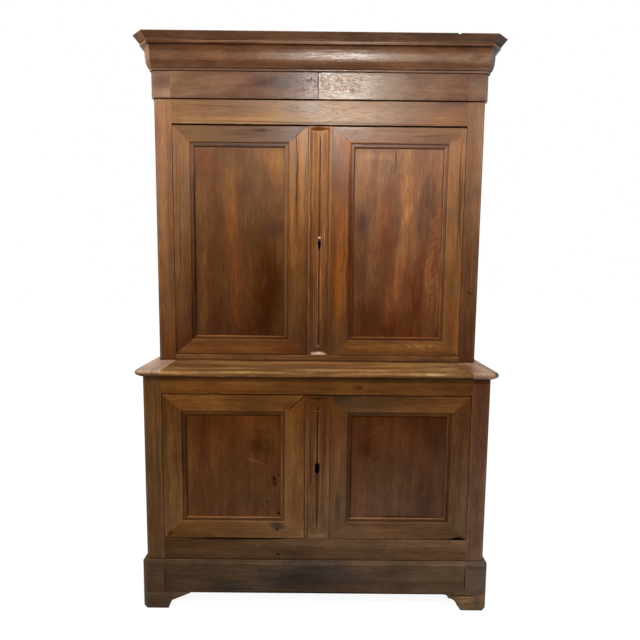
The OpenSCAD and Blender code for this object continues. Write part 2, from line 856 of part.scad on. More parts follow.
module countertop() {
  x = top_hw - top_end_w;
  color(walnut_pale) intersection() {
    top_body();
    block([-x, -total_d, 0], [x, y_back, z_total]);
  }
}

module countertop_ends() {
  x = top_hw - top_end_w;
  color(walnut_pale) both_sides() intersection() {
    top_body();
    block([x, -total_d, 0], [base_w, y_back, z_total]);
  }
}

module plinth_front() {
  color(plinth_brown) intersection() {
    plinth_body();
    block([-base_ohw, y_front - plinth_out, 0], [base_ohw, y_front, z_base]);
  }
}

// The plinth's corner pieces wrap round the post's cant
module plinth_corners() {
  color(plinth_brown) both_sides() difference() {
    intersection() {
      plinth_body();
      block([base_ohw, -total_d, 0], [base_w, y_front + post_d, z_base]);
    }
    plan_prism([
      [0, y_front], front_corner(base_hw, y_front, 0), cant_end(base_hw, y_front, 0),
      [base_hw, y_back], [0, y_back]
    ], 0, z_total);
  }
}

module plinth_sides() {
  color(plinth_brown) both_sides() intersection() {
    plinth_body();
    block([base_hw, y_front + post_d, 0], [base_w, y_back, z_base]);
  }
}

module front_feet() {
  outer = base_hw + plinth_out;
  color(plinth_brown) {
    mirror([1, 0, 0]) front_foot(plain_bracket(outer), along_side(plain_bracket(outer)));
    front_foot(scroll_bracket(outer), along_side(scroll_bracket(outer)));
  }
}

module rear_feet() {
  color(plinth_brown) both_sides()
    block([base_hw - foot_w, y_back - rear_post - 10, 0], [base_hw + plinth_out, y_back, foot_h]);
}

// Upper cabinet

module upper_posts() {
  color(walnut)
    posts(upper_hw, y_upper, upper_post_w, z_top1, u_top,
          z_top1 + side_rail_h - groove, u_top - side_rail_h + groove);
}

module upper_top_rail() {
  color(walnut) difference() {
    front_rail(upper_ohw, y_upper, u_open1, u_top, top_rail_d);
    pivot_plates(upper_ohw, y_upper, u_open1, 1, eps);
  }
}

module upper_bottom_rail() {
  color(walnut) difference() {
    front_rail(upper_ohw, y_upper, z_top1, u_open0, post_d);
    pivot_plates(upper_ohw, y_upper, u_open0, -1, eps);
  }
}

module upper_frame_rails() {
  color(walnut) frame_rails(upper_hw, y_upper, z_top1, u_top);
}

module upper_side_panels() {
  color(walnut) side_panels(upper_hw, y_upper, z_top1, u_top);
}

module upper_back_boards() {
  color(inside_wood) back_boards(upper_hw, z_top1, u_top, 6);
}

module upper_floor() {
  color(inside_wood) inner_board(upper_hw, y_upper + post_d + snug, y_rail, u_open0, floor_t);
}

// The ceiling reaches the thin top rail between the posts, above the bolt's tip
upper_ceiling_z = u_open1 + ceiling_rise + floor_t;
module upper_ceiling() {
  color(inside_wood) {
    inner_board(upper_hw, y_upper + post_d + snug, y_rail, upper_ceiling_z, floor_t);
    block([snug - upper_ohw, y_upper + top_rail_d, upper_ceiling_z - floor_t],
          [upper_ohw - snug, y_upper + post_d + snug + eps, upper_ceiling_z]);
  }
}

// Tops of the upper shelves, evenly spaced between floor and ceiling
shelf_pitch = (upper_open_h - upper_shelf_count * shelf_t) / (upper_shelf_count + 1) + shelf_t;
upper_shelf_tops = [for (i = [1:upper_shelf_count]) u_open0 + i * shelf_pitch];

module upper_shelves() {
  color(inside_wood) for (z = upper_shelf_tops)
    inner_board(upper_hw, y_upper + shelf_in, y_boards, z, shelf_t);
}

module upper_bearers() {
  color(inside_wood) {
    bearer_pair(upper_hw, y_upper, u_open0 - floor_t, upper_bottom_rail_h - floor_t);
    bearer_pair(upper_hw, y_upper, upper_ceiling_z - floor_t, bearer);
    for (top = upper_shelf_tops) {
      bearer_pair(upper_hw, y_upper, top - shelf_t, bearer);
      bearer_pads(upper_hw, y_upper, top - shelf_t, bearer);
    }
  }
}

// Hardware of the cabinets

module case_pivots() {
  color(iron) {
    for (top = [
      [base_ohw, y_front, z_open1, 1, base_top_gap],
      [base_ohw, y_front, z_open0, -1, base_bottom_gap],
      [upper_ohw, y_upper, u_open1, 1, upper_top_gap],
      [upper_ohw, y_upper, u_open0, -1, upper_bottom_gap]
    ]) {
      pivot_plates(top[0], top[1], top[2], top[3], 0);
      pivot_pins(top[0], top[1], top[2], top[3], top[4]);
    }
  }
}

// Blocks glued behind the top rails that the closed doors come to rest on
stop_w = 44;
stop_h = 14;
module door_stops() {
  color(inside_wood) for (cab = [[y_front, z_open1, base_ohw], [y_upper, u_open1, upper_ohw]])
    both_sides() block([cab[2] / 2 - stop_w / 2, cab[0] + top_rail_d, cab[1] - stop_h],
                       [cab[2] / 2 + stop_w / 2, cab[0] + post_d, cab[1] + stop_h]);
}

// Doors of the upper cabinet

upper_y = y_upper;
upper_z0 = u_open0 + upper_bottom_gap;
upper_z1 = u_open1 - upper_top_gap;
upper_left_x0 = -upper_ohw + side_gap;
upper_right_x1 = upper_ohw - side_gap;
upper_lock_z = u_open0 + upper_key_z;

module upper_left_stiles() {
  color(walnut)
    door_stiles(upper_left_x0, left_door_x1, upper_y, upper_z0, upper_z1,
                upper_outer_face, upper_inner_face, upper_top_face, upper_bottom_face,
                left_pivot_x(upper_ohw));
}

module upper_left_rails() {
  color(walnut)
    door_rails(upper_left_x0, left_door_x1, upper_y, upper_z0, upper_z1,
               upper_outer_face, upper_inner_face, upper_top_face, upper_bottom_face,
               left_pivot_x(upper_ohw));
}

module upper_left_panel() {
  color(walnut_dark)
    door_panel(upper_left_x0, left_door_x1, upper_y, upper_z0, upper_z1,
               upper_outer_face, upper_inner_face, upper_top_face, upper_bottom_face);
}

module upper_right_stiles() {
  color(walnut)
    door_stiles(strip_x1, upper_right_x1, upper_y, upper_z0, upper_z1,
                upper_inner_face, upper_outer_face, upper_top_face, upper_bottom_face,
                right_pivot_x(upper_ohw));
}

module upper_right_rails() {
  color(walnut)
    door_rails(strip_x1, upper_right_x1, upper_y, upper_z0, upper_z1,
               upper_inner_face, upper_outer_face, upper_top_face, upper_bottom_face,
               right_pivot_x(upper_ohw));
}

module upper_right_panel() {
  color(walnut_dark)
    door_panel(strip_x1, upper_right_x1, upper_y, upper_z0, upper_z1,
               upper_inner_face, upper_outer_face, upper_top_face, upper_bottom_face);
}

module upper_strip() {
  color(walnut) strip(upper_y, upper_z0, upper_z1, upper_lock_z);
}

// Doors of the base cabinet

base_z0 = z_open0 + base_bottom_gap;
base_z1 = z_open1 - base_top_gap;
base_left_x0 = -base_ohw + side_gap;
base_right_x1 = base_ohw - side_gap;
base_lock_z = z_open0 + base_key_z;

module base_left_stiles() {
  color(walnut_dark)
    door_stiles(base_left_x0, left_door_x1, y_front, base_z0, base_z1,
                base_outer_face, base_left_inner_face, base_top_face, base_bottom_face,
                left_pivot_x(base_ohw));
}

module base_left_rails() {
  color(walnut_dark)
    door_rails(base_left_x0, left_door_x1, y_front, base_z0, base_z1,
               base_outer_face, base_left_inner_face, base_top_face, base_bottom_face,
               left_pivot_x(base_ohw));
}

module base_left_panel() {
  color(walnut_dark)
    door_panel(base_left_x0, left_door_x1, y_front, base_z0, base_z1,
               base_outer_face, base_left_inner_face, base_top_face, base_bottom_face);
}

module base_right_stiles() {
  color(walnut_dark)
    door_stiles(strip_x1, base_right_x1, y_front, base_z0, base_z1,
                base_right_inner_face, base_outer_face, base_top_face, base_bottom_face,
                right_pivot_x(base_ohw));
}

module base_right_rails() {
  color(walnut_dark)
    door_rails(strip_x1, base_right_x1, y_front, base_z0, base_z1,
               base_right_inner_face, base_outer_face, base_top_face, base_bottom_face,
               right_pivot_x(base_ohw));
}

module base_right_panel() {
  color(walnut_dark)
    door_panel(strip_x1, base_right_x1, y_front, base_z0, base_z1,
               base_right_inner_face, base_outer_face, base_top_face, base_bottom_face);
}

module base_strip() {
  color(walnut_dark) strip(y_front, base_z0, base_z1, base_lock_z);
}

// Locks and surface bolts

module upper_lock_case() {
  color(iron) lock_case(upper_y, upper_lock_z);
}

module upper_lock_bolt() {
  color(brass) lock_latch(upper_y, upper_lock_z);
}

module base_lock_case() {
  color(iron) lock_case(y_front, base_lock_z);
}

module base_lock_bolt() {
  color(brass) lock_latch(y_front, base_lock_z);
}

module upper_bolt_plate() {
  color(iron) bolt_plate(upper_y, upper_z1);
}

module upper_top_bolt() {
  color(iron) bolt_rod(upper_y, upper_z1);
}

module base_bolt_plate() {
  color(iron) bolt_plate(y_front, base_z1);
}

module base_top_bolt() {
  color(iron) bolt_rod(y_front, base_z1);
}

// Thin iron lining of a keyhole, from the strip's field back to the lock
lining = 1.2;
field_v = strip_sink - strip_proud - strip_rise;
module key_lining(y0, z) {
  ya = y0 + field_v - 1;
  yb = y0 + door_t;
  difference() {
    key_slot(ya, yb, z, key_w, key_h);
    key_slot(ya - eps, yb + eps, z, key_w - 2 * lining, key_h - 2 * lining);
  }
}

// Lining of the upper keyhole, and the domed pin driven in above it
key_pin_r = 6;
key_pin_h = 5;
module upper_key_fittings() {
  color(iron) {
    key_lining(upper_y, upper_lock_z);
    translate([key_x, upper_y + field_v, upper_lock_z + key_h / 2 + 2 * key_pin_r]) rotate([90, 0, 0])
      rotate_extrude() polygon(concat([[0, 0]], arc(0, 0, key_pin_r, key_pin_h, 0, 90, arc_steps)));
  }
}

module base_key_fittings() {
  color(iron) key_lining(y_front, base_lock_z);
}

base_posts();
base_top_rail();
base_bottom_rail();
base_frame_rails();
base_side_panels();
base_back_boards();
base_floor();
base_shelf();
base_bearers();
countertop();
countertop_ends();
plinth_front();
plinth_corners();
plinth_sides();
front_feet();
rear_feet();
upper_posts();
upper_top_rail();
upper_bottom_rail();
upper_frame_rails();
upper_side_panels();
upper_back_boards();
upper_floor();
upper_ceiling();
upper_shelves();
upper_bearers();
frieze_front();
frieze_corners();
frieze_sides();
cornice_front();
cornice_corners();
cornice_sides();
crown_boards();
case_pivots();
door_stops();
upper_left_stiles();
upper_left_rails();
upper_left_panel();
upper_right_stiles();
upper_right_rails();
upper_right_panel();
upper_strip();
base_left_stiles();
base_left_rails();
base_left_panel();
base_right_stiles();
base_right_rails();
base_right_panel();
base_strip();
upper_lock_case();
upper_lock_bolt();
base_lock_case();
base_lock_bolt();
upper_bolt_plate();
upper_top_bolt();
base_bolt_plate();
base_top_bolt();
upper_key_fittings();
base_key_fittings();
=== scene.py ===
"""Looks of the buffet hutch: worn walnut boards, dull iron, a pale floor and soft light.

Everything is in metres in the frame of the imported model: +Z up, the front faces -Y, and
+X is to the right. Boards are copies of the model's solids with softened arrises, and
each carries its own grain direction in its mesh.
"""
import json
import math
import random
from typing import NamedTuple

import bmesh
import bpy
from mathutils import Matrix, Vector

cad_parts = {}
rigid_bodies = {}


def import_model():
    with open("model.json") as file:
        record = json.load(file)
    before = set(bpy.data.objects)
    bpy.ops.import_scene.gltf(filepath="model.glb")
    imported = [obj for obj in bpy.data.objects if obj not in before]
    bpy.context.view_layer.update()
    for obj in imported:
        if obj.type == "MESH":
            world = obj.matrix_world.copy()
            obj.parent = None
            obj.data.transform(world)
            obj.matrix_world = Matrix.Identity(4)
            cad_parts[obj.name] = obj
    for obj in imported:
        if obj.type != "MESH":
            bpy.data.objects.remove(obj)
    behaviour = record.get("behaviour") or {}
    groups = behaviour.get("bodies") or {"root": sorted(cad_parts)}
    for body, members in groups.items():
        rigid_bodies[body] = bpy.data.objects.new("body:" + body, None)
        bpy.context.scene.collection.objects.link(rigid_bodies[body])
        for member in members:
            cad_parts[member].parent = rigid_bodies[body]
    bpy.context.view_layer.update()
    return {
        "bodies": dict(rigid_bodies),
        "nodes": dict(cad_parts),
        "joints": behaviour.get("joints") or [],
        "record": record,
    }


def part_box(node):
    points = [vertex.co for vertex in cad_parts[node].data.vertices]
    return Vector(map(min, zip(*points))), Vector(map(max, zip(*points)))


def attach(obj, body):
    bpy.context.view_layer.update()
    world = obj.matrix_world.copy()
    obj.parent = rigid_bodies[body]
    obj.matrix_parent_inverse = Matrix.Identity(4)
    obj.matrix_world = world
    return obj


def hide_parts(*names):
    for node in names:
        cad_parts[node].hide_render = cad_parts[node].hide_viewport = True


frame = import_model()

# Planes that the looks are worked out from: the faces of both cabinets and the board top
LOW_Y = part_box("base_posts")[0].y
UP_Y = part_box("upper_posts")[0].y
TOP_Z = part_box("countertop")[1].z

# Planes of the forms that stand before or behind those faces
PANEL_IN = 0.011
NOSE_Y, PLINTH_Y = LOW_Y - 0.032, LOW_Y - 0.016
FRIEZE_Y, CORNICE_Y, COVE_Y = UP_Y - 0.008, UP_Y - 0.030, UP_Y - 0.040
FILLET_Y, FASCIA_Y, CHIP_Y = UP_Y - 0.047, UP_Y - 0.060, -0.130

# Softened arrises: their width on most boards and on the cases, and what counts as sharp
ARRIS, CASE_ARRIS, SHARP = 0.0009, 0.0014, math.radians(24)

WHITE = (1, 1, 1, 1)


# Camera

IMAGE = 640
SENSOR = 36
FOCAL = 497.06
EYE = Vector((0.0059, LOW_Y - 1.9126, 1.3848))
PITCH, YAW, ROLL = (math.radians(angle) for angle in (5.947, 0.116, 0.580))


def camera_axes():
    """The camera's own directions to the right, upwards and forwards."""
    level_part = math.cos(PITCH)
    forward = Vector((math.sin(YAW) * level_part, math.cos(YAW) * level_part, -math.sin(PITCH)))
    level = Vector((math.cos(YAW), -math.sin(YAW), 0))
    up = level.cross(forward)
    return (math.cos(ROLL) * level + math.sin(ROLL) * up,
            math.cos(ROLL) * up - math.sin(ROLL) * level, forward)


RIGHT, UP, FORWARD = camera_axes()


def make_camera():
    """The photograph's viewpoint: at eye height, a little right of the middle."""
    data = bpy.data.cameras.new("camera")
    data.sensor_width = SENSOR
    data.lens = FOCAL / IMAGE * SENSOR
    camera = bpy.data.objects.new("camera", data)
    bpy.context.scene.collection.objects.link(camera)
    turn = Matrix((RIGHT, UP, -FORWARD)).transposed().to_4x4()
    camera.matrix_world = Matrix.Translation(EYE) @ turn
    bpy.context.scene.camera = camera


def ray(px, py):
    """The direction from the eye through the picture's pixel (px, py)."""
    return FORWARD + RIGHT * ((px - IMAGE / 2) / FOCAL) + UP * ((IMAGE / 2 - py) / FOCAL)


def seen_at(px, py, y):
    """The point of the upright plane at depth y that the picture shows at (px, py)."""
    aim = ray(px, py)
    return EYE + aim * ((y - EYE.y) / aim.y)


def seen_on(px, py, z):
    """The point of the level plane at height z that the picture shows at (px, py)."""
    aim = ray(px, py)
    return EYE + aim * ((z - EYE.z) / aim.z)


def pixel(y):
    """The size of one of the picture's pixels at depth y."""
    return (y - EYE.y) / FOCAL


# Stage

# Each lamp's place, the point that it faces, its two sides, its power and its colour
LAMPS = {
    "overhead": ((0.17, -2.3, 2.82), (0.1, 0.0, 1.45), (0.40, 0.36), 50, (1.0, 0.95, 0.86)),
    "left_fill": ((-2.8, -2.8, 1.7), (0, 0, 1.1), (1.8, 1.8), 44, (1.0, 0.99, 0.97)),
    "right_fill": ((3.0, -2.8, 1.6), (0, 0, 1.0), (2.2, 2.2), 28, (1.0, 0.99, 0.98)),
    "back_fill": ((0, 3.4, 2.6), (0, 0, 1.2), (2.6, 2.0), 40, (1.0, 1.0, 1.0)),
}

# The floor: half its side, its colour in the object's light and to the eye, and the reach
# over which its own glow rises to white
FLOOR_HALF = 14
FLOOR_IN_LIGHT, FLOOR_TO_EYE = (0.17, 0.145, 0.12), (0.16, 0.16, 0.16)
GLOW_REACH, GLOW_NEAR = (0.8, 3.0), 0.92

# The sky's colours from below to above, at heights from 0 to 1
SKY = [(0.40, (0.05, 0.045, 0.04)), (0.55, (0.15, 0.15, 0.148)), (0.9, (0.34, 0.345, 0.35))]


def link_mesh(name, bm):
    """Turns a bmesh into an object in the scene."""
    mesh = bpy.data.meshes.new(name)
    bm.to_mesh(mesh)
    bm.free()
    obj = bpy.data.objects.new(name, mesh)
    bpy.context.scene.collection.objects.link(obj)
    return obj


def area_light(name, place, aim, sides, power, colour):
    data = bpy.data.lights.new(name, "AREA")
    data.shape = "RECTANGLE"
    data.size, data.size_y = sides
    data.energy = power
    data.color = colour
    light = bpy.data.objects.new(name, data)
    bpy.context.scene.collection.objects.link(light)
    light.location = place
    light.rotation_mode = "QUATERNION"
    light.rotation_quaternion = (Vector(aim) - Vector(place)).to_track_quat("-Z", "Y")


def make_floor():
    """A pale floor that keeps the object's shadow and turns white further out."""
    bm = bmesh.new()
    bmesh.ops.create_grid(bm, x_segments=8, y_segments=8, size=FLOOR_HALF)
    floor = link_mesh("floor", bm)
    g = Graph(bpy.data.materials.new("pale_floor"))
    seen = g.seen_rays()
    matte = g.node("BsdfDiffuse", Color=g.mix(seen, FLOOR_IN_LIGHT, FLOOR_TO_EYE))
    far = g.steps(g.length(g.coordinates("Object")), *GLOW_REACH, GLOW_NEAR, 1.0)
    glow = g.node("Emission", Color=WHITE, Strength=g.times(seen, far))
    g.join("OutputMaterial", g.join("AddShader", matte, glow))
    floor.data.materials.append(g.owner)


def make_sky():
    """Soft light from above, and white for the rays that show the background."""
    world = bpy.data.worlds.new("studio")
    bpy.context.scene.world = world
    g = Graph(world)
    rise = g.parts(g.coordinates("Generated"))[2]
    soft = g.node("Background", Color=g.ramp(g.sum(rise, 0.5, 0.5), SKY), Strength=1.0)
    white = g.node("Background", Color=WHITE, Strength=1.0)
    g.join("OutputWorld", g.join("MixShader", g.seen_rays(), soft, white))


# Materials

class Graph:
    """A node tree of a material or a world, with short calls for the nodes that the looks use."""

    def __init__(self, owner):
        owner.use_nodes = True
        self.owner = owner
        self.tree = owner.node_tree
        self.tree.nodes.clear()

    def set(self, node, socket, value):
        if isinstance(value, bpy.types.NodeSocket):
            self.tree.links.new(value, node.inputs[socket])
        elif isinstance(value, bpy.types.Node):
            self.tree.links.new(value.outputs[0], node.inputs[socket])
        elif value is not None:
            node.inputs[socket].default_value = value

    def new(self, kind):
        return self.tree.nodes.new("ShaderNode" + kind)

    def node(self, kind, **sockets):
        """A node with some of its sockets filled by name."""
        node = self.new(kind)
        for socket, value in sockets.items():
            self.set(node, socket.replace("_", " "), value)
        return node

    def join(self, kind, *values):
        """A node with its first sockets filled in their order."""
        node = self.new(kind)
        for socket, value in enumerate(values):
            self.set(node, socket, value)
        return node

    def coordinates(self, name):
        return self.node("TexCoord").outputs[name]

    def attribute(self, name, output="Vector"):
        node = self.new("Attribute")
        node.attribute_name = name
        return node.outputs[output]

    def math(self, operation, a, b=None, c=None, clamp=False):
        node = self.join("Math", a, b, c)
        node.operation = operation
        node.use_clamp = clamp
        return node.outputs[0]

    def times(self, a, b):
        return self.math("MULTIPLY", a, b)

    def sum(self, a, share, b, clamp=False):
        """A share of a, added to b."""
        return self.math("MULTIPLY_ADD", a, share, b, clamp)

    def most(self, a, b):
        return self.math("MAXIMUM", a, b)

    def centred(self, value):
        """A noise's value from -0.5 to 0.5."""
        return self.math("SUBTRACT", value, 0.5)

    def steps(self, value, low, high, out_low=0.0, out_high=1.0):
        """A smooth step of value from low to high."""
        node = self.join("MapRange", value, low, high, out_low, out_high)
        node.interpolation_type = "SMOOTHSTEP"
        return node.outputs[0]

    def between(self, value, start, full, fade, end):
        """One from full to fade, and smoothly down to zero at start and end."""
        return self.times(self.steps(value, start, full), self.steps(value, end, fade))

    def parts(self, vector):
        return self.node("SeparateXYZ", Vector=vector).outputs

    def vector(self, x, y, z):
        return self.join("CombineXYZ", x, y, z).outputs[0]

    def vector_math(self, operation, a, b=None):
        node = self.join("VectorMath", a, b)
        node.operation = operation
        return node.outputs

    def length(self, vector):
        return self.vector_math("LENGTH", vector)["Value"]

    def space(self, vector, middle, turn, unit):
        """Coordinates about a middle, turned in degrees about Y, in a unit for each axis."""
        node = self.node("Mapping", Vector=vector, Location=middle,
                         Rotation=(0, math.radians(turn), 0), Scale=unit)
        node.vector_type = "TEXTURE"
        return node

    def noise(self, vector, scale, detail=2.0, roughness=0.5, distortion=0.0):
        """Noise with one scale, or with three that stretch it."""
        if isinstance(scale, tuple):
            vector, scale = self.vector_math("MULTIPLY", vector, scale)[0], 1.0
        node = self.node("TexNoise", Vector=vector, Scale=scale, Detail=detail,
                         Roughness=roughness, Distortion=distortion)
        return node.outputs["Fac"]

    def ramp(self, value, stops):
        node = self.join("ValToRGB", value)
        band = node.color_ramp
        while len(band.elements) < len(stops):
            band.elements.new(0.5)
        for element, (place, colour) in zip(band.elements, stops):
            element.position = place
            element.color = (*colour, 1)
        return node.outputs[0]

    def mix(self, amount, a, b, how="MIX"):
        """Two colours, each a node's or three numbers."""
        node = self.new("Mix")
        node.data_type = "RGBA"
        node.blend_type = how
        for socket, value in ((0, amount), (6, a), (7, b)):
            self.set(node, socket, (*value, 1) if isinstance(value, tuple) else value)
        return node.outputs[2]

    def tinted(self, wood, amount, tint):
        """The wood multiplied by a tint, as far as the amount goes."""
        return self.mix(amount, wood, tint, "MULTIPLY")

    def seen_rays(self):
        """One for the rays that show the background: direct, mirrored and through glass."""
        path = self.node("LightPath").outputs
        seen = self.most(path["Is Camera Ray"], path["Is Glossy Ray"])
        return self.most(seen, path["Is Transmission Ray"])

    def bump(self, height, strength, distance, normal=None):
        node = self.node("Bump", Height=height, Strength=strength, Distance=distance)
        self.set(node, "Normal", normal)
        return node.outputs[0]

    def skin(self, colour, roughness, normal, specular=None, metallic=None):
        """Covers the owner with one shader of these looks."""
        shader = self.node("BsdfPrincipled", Base_Color=colour, Roughness=roughness,
                           Normal=normal, Specular_IOR_Level=specular, Metallic=metallic)
        self.join("OutputMaterial", shader)


def srgb(r, g, b):
    """Colour as seen on a screen, 0 to 255, as the linear values that shaders take."""
    return tuple(((c / 255 + 0.055) / 1.055) ** 2.4 if c > 10.3 else c / 255 / 12.92 for c in (r, g, b))


class Look(NamedTuple):
    """A kind of walnut: its colours from 0 to 255, how strongly its broad bands, streaks and
    rings show, its roughness, its polish, how dark dirt and painted shade make its crevices,
    and how close its grain is.
    """
    dark: tuple
    middle: tuple
    light: tuple
    bands: float
    streaks: float
    rings: float
    rough: float
    shine: float
    grime_and_shade: float
    close: float = 1.0


WALNUT = {
    "frame": Look((70, 40, 19), (124, 79, 42), (164, 114, 66), 0.7, 0.26, 0.25, 0.38, 0.46, 0.92),
    "panel": Look((58, 27, 11), (106, 62, 31), (150, 100, 54), 0.35, 0.14, 0.12, 0.44, 0.32, 0.95),
    "strip": Look((74, 40, 18), (128, 82, 42), (168, 116, 66), 0.35, 0.2, 0.1, 0.4, 0.38, 0.95),
    "base": Look((56, 32, 14), (104, 65, 30), (140, 94, 48), 0.6, 0.3, 0.22, 0.48, 0.28, 0.92),
    "base_strip": Look((56, 32, 16), (104, 65, 32), (140, 94, 50), 0.4, 0.2, 0.1, 0.48, 0.28, 0.95),
    "base_panel": Look((50, 26, 12), (88, 51, 23), (122, 76, 38), 0.45, 0.16, 0.14, 0.48, 0.26, 0.95),
    "plinth": Look((50, 38, 29), (82, 64, 49), (114, 92, 70), 0.6, 0.35, 0.15, 0.56, 0.26, 0.8),
    "cornice": Look((62, 38, 24), (106, 72, 48), (146, 108, 76), 0.6, 0.34, 0.15, 0.27, 0.3, 0.92),
    "top": Look((74, 47, 26), (126, 87, 50), (184, 142, 94), 0.9, 2.1, 0.3, 0.4, 0.38, 0.6, 0.9),
    "top_end": Look((84, 56, 34), (128, 92, 62), (168, 130, 94), 0.5, 0.9, 0.2, 0.4, 0.22, 0.6, 0.9),
    "inside": Look((118, 92, 62), (150, 122, 86), (178, 150, 112), 0.7, 0.7, 0.4, 0.75, 0.2, 0.5),
}

# Waves of noise in a metre: along a board, across it and through it
SWAY, BANDS, CLOUD, SHADE = (2.2, 6.0, 6.0), (0.8, 15.0, 15.0), (6.0, 11.0, 11.0), (1.7, 4.0, 4.0)
STREAKS, FINE, PORES = (2.6, 80.0, 80.0), (16.0, 152.0, 152.0), (30.0, 420.0, 420.0)
MOTTLE, WAVES, YEARS = (90.0, 170.0, 170.0), (3.0, 16.0, 16.0), 75.0

# Waves of noise in a metre, to the right, to the back and upwards
DRIFT, BEND = (60.0, 30.0, 22.0), (3.0, 3.0, 9.0)
SPOTS, CELLS, SPECKS = (80.0, 80.0, 110.0), (150.0, 150.0, 190.0), 120.0

# What age lays over the wood, and painted light and shade: how much red, green and blue it leaves. The
# crease and moulding-bed dirt also paint shade, the bed's light is painted light on faces turned up, and
# the wear on arrises and shoulders also paints highlights and sheen
WARM, COOL = (1.04, 0.93, 0.85), (0.84, 0.86, 0.84)
PORE, SPECK, DIRT_AND_SHADE = (0.50, 0.42, 0.36), (0.42, 0.36, 0.32), (0.22, 0.15, 0.12)
CUT_END, WEAR_AND_HIGHLIGHT, SPOT_EDGE = (0.55, 0.48, 0.45), (1.9, 1.9, 1.8), (0.74, 0.70, 0.68)
BED_DIRT_AND_SHADE, BED_PAINTED_LIGHT, SHOULDER_WEAR_AND_SHEEN = (0.34, 0.25, 0.25), (2.2, 2.1, 2.0), (1.9, 1.95, 2.3)

# A moulding's bed and its shoulder: where each starts, is full, fades and ends, behind the face
BED, SHOULDER = (0.0, 0.003, 0.012, 0.013), (0.0045, 0.0049, 0.0060, 0.0074)

# How close two faces have to be for dirt and painted shade to darken the crease between them
CREASE = 0.016

# The wax shines more from the first height to the second, up towards the lamp
WAXED_LOW, WAXED_HIGH, DULLED = 1.30, 2.12, 0.16

# How a mark changes the wood that it lies on, and the colour of wood that lost its finish, which marks
# also use as a painted highlight on lit fillets and bevels. The crazed tint also paints the lamp's glare
# on crazed wax
BARE_AND_HIGHLIGHT = srgb(206, 176, 150)
TINT = {
    "dark": (0.50, 0.43, 0.38), "black": (0.10, 0.08, 0.07), "purple": (0.62, 0.60, 0.74),
    "grey": (0.80, 0.88, 1.08), "honey": (1.85, 1.90, 1.70), "orange": (1.70, 1.46, 1.10),
    "red": (1.06, 0.80, 0.62), "pale": (2.2, 2.4, 2.6), "umber": (0.62, 0.46, 0.32),
    "olive": (0.88, 0.98, 0.86), "craze_and_glare": (1.50, 1.56, 1.62), "ripple": (1.75, 1.62, 1.40),
    "knot": (0.34, 0.27, 0.24), "fleck": (2.1, 2.2, 1.9), "slate": (0.66, 0.78, 1.06),
}
DULL_TINTS = ("dark", "black", "umber", "knot")

# Ripples in the figure: how they lean in degrees, and their length and width
RIPPLE_LEAN, RIPPLE_SIZE = -50, (0.040, 1, 0.0085)
ENDLESS = 1000


class Mark(NamedTuple):
    """A soft-edged oval on a board, in the picture's pixels.

    px and py are its middle, wide and high its half sizes. amount is how far it changes
    the wood, soft how much of it is edge, and turn is in degrees. y is its depth where
    that isn't the board's.
    """
    tint: str
    px: float
    py: float
    wide: float
    high: float
    amount: float
    soft: float = 0.8
    turn: float = 0
    y: float = None


def mark_space(g, place, spot, y, flat):
    """Coordinates in which a mark is a circle of radius one.

    The mark lies on the upright plane at depth y or, where flat is given, on the level
    plane at that height.
    """
    if flat and spot.y is None:
        middle = seen_on(spot.px, spot.py, flat)
        wide = (seen_on(spot.px + spot.wide, spot.py, flat) - middle).length
        high = (seen_on(spot.px, spot.py + spot.high, flat) - middle).length
        return g.space(place, (middle.x, middle.y, 0), 0, (wide, high, ENDLESS))
    y = y if spot.y is None else spot.y
    middle = seen_at(spot.px, spot.py, y)
    return g.space(place, (middle.x, 0, middle.z), spot.turn,
                   (spot.wide * pixel(y), ENDLESS, spot.high * pixel(y)))


def mark(g, wood, place, drift, spot, y, flat):
    """Blends one mark into the wood, wavering with the grain.

    Returns the wood and how much of the mark each point has.
    """
    reach = g.length(mark_space(g, place, spot, y, flat))
    inside = g.steps(g.sum(drift, 0.45, reach), 1.0, 1.0 - spot.soft, 0.0, spot.amount)
    if spot.tint in ("craze_and_glare", "fleck"):
        spots = g.noise(place, SPOTS, 3.0, 0.6)
        wood = g.tinted(wood, g.times(inside, g.steps(spots, 0.52, 0.34)), SPOT_EDGE)
        inside = g.times(inside, g.steps(spots, 0.48, 0.66))
    elif spot.tint == "knot":
        ripples = g.noise(g.vector(g.sum(drift, 0.5, reach), 0.0, 0.0), 9.0, 1.0)
        core = g.steps(reach, 0.45, 0.10)
        inside = g.times(inside, g.most(core, g.steps(ripples, 0.42, 0.60, 0.15, 1.0)))
    elif spot.tint == "ripple":
        lean = g.space(place, (0, 0, 0), RIPPLE_LEAN, RIPPLE_SIZE)
        inside = g.times(inside, g.steps(g.noise(lean, 1.0), 0.44, 0.58))
    elif spot.tint == "bare":
        return g.mix(inside, wood, BARE_AND_HIGHLIGHT), inside
    return g.tinted(wood, inside, TINT[spot.tint]), inside


def marked(g, wood, place, marks, y, flat):
    """Lays a board's marks on its wood.

    Returns the wood, and how dull and how crazed the marks leave each point.
    """
    drift = g.centred(g.noise(place, DRIFT, 3.0, 0.6))
    bend = g.centred(g.noise(place, BEND))
    sway = g.vector(g.times(bend, 0.020), 0.0, g.times(bend, 0.012))
    wavy = g.vector_math("ADD", place, sway)[0]
    dull, crazed = 0.0, 0.0
    for row in marks:
        spot = Mark(*row)
        wood, inside = mark(g, wood, wavy, drift, spot, y, flat)
        if spot.tint in DULL_TINTS:
            dull = g.most(dull, inside)
        if spot.tint == "craze_and_glare":
            crazed = g.most(crazed, inside)
    return wood, dull, crazed


def closer(waves, close):
    """Waves of noise that lie closer or wider across and through the board."""
    along, across, through = waves
    return along, close * across, close * through


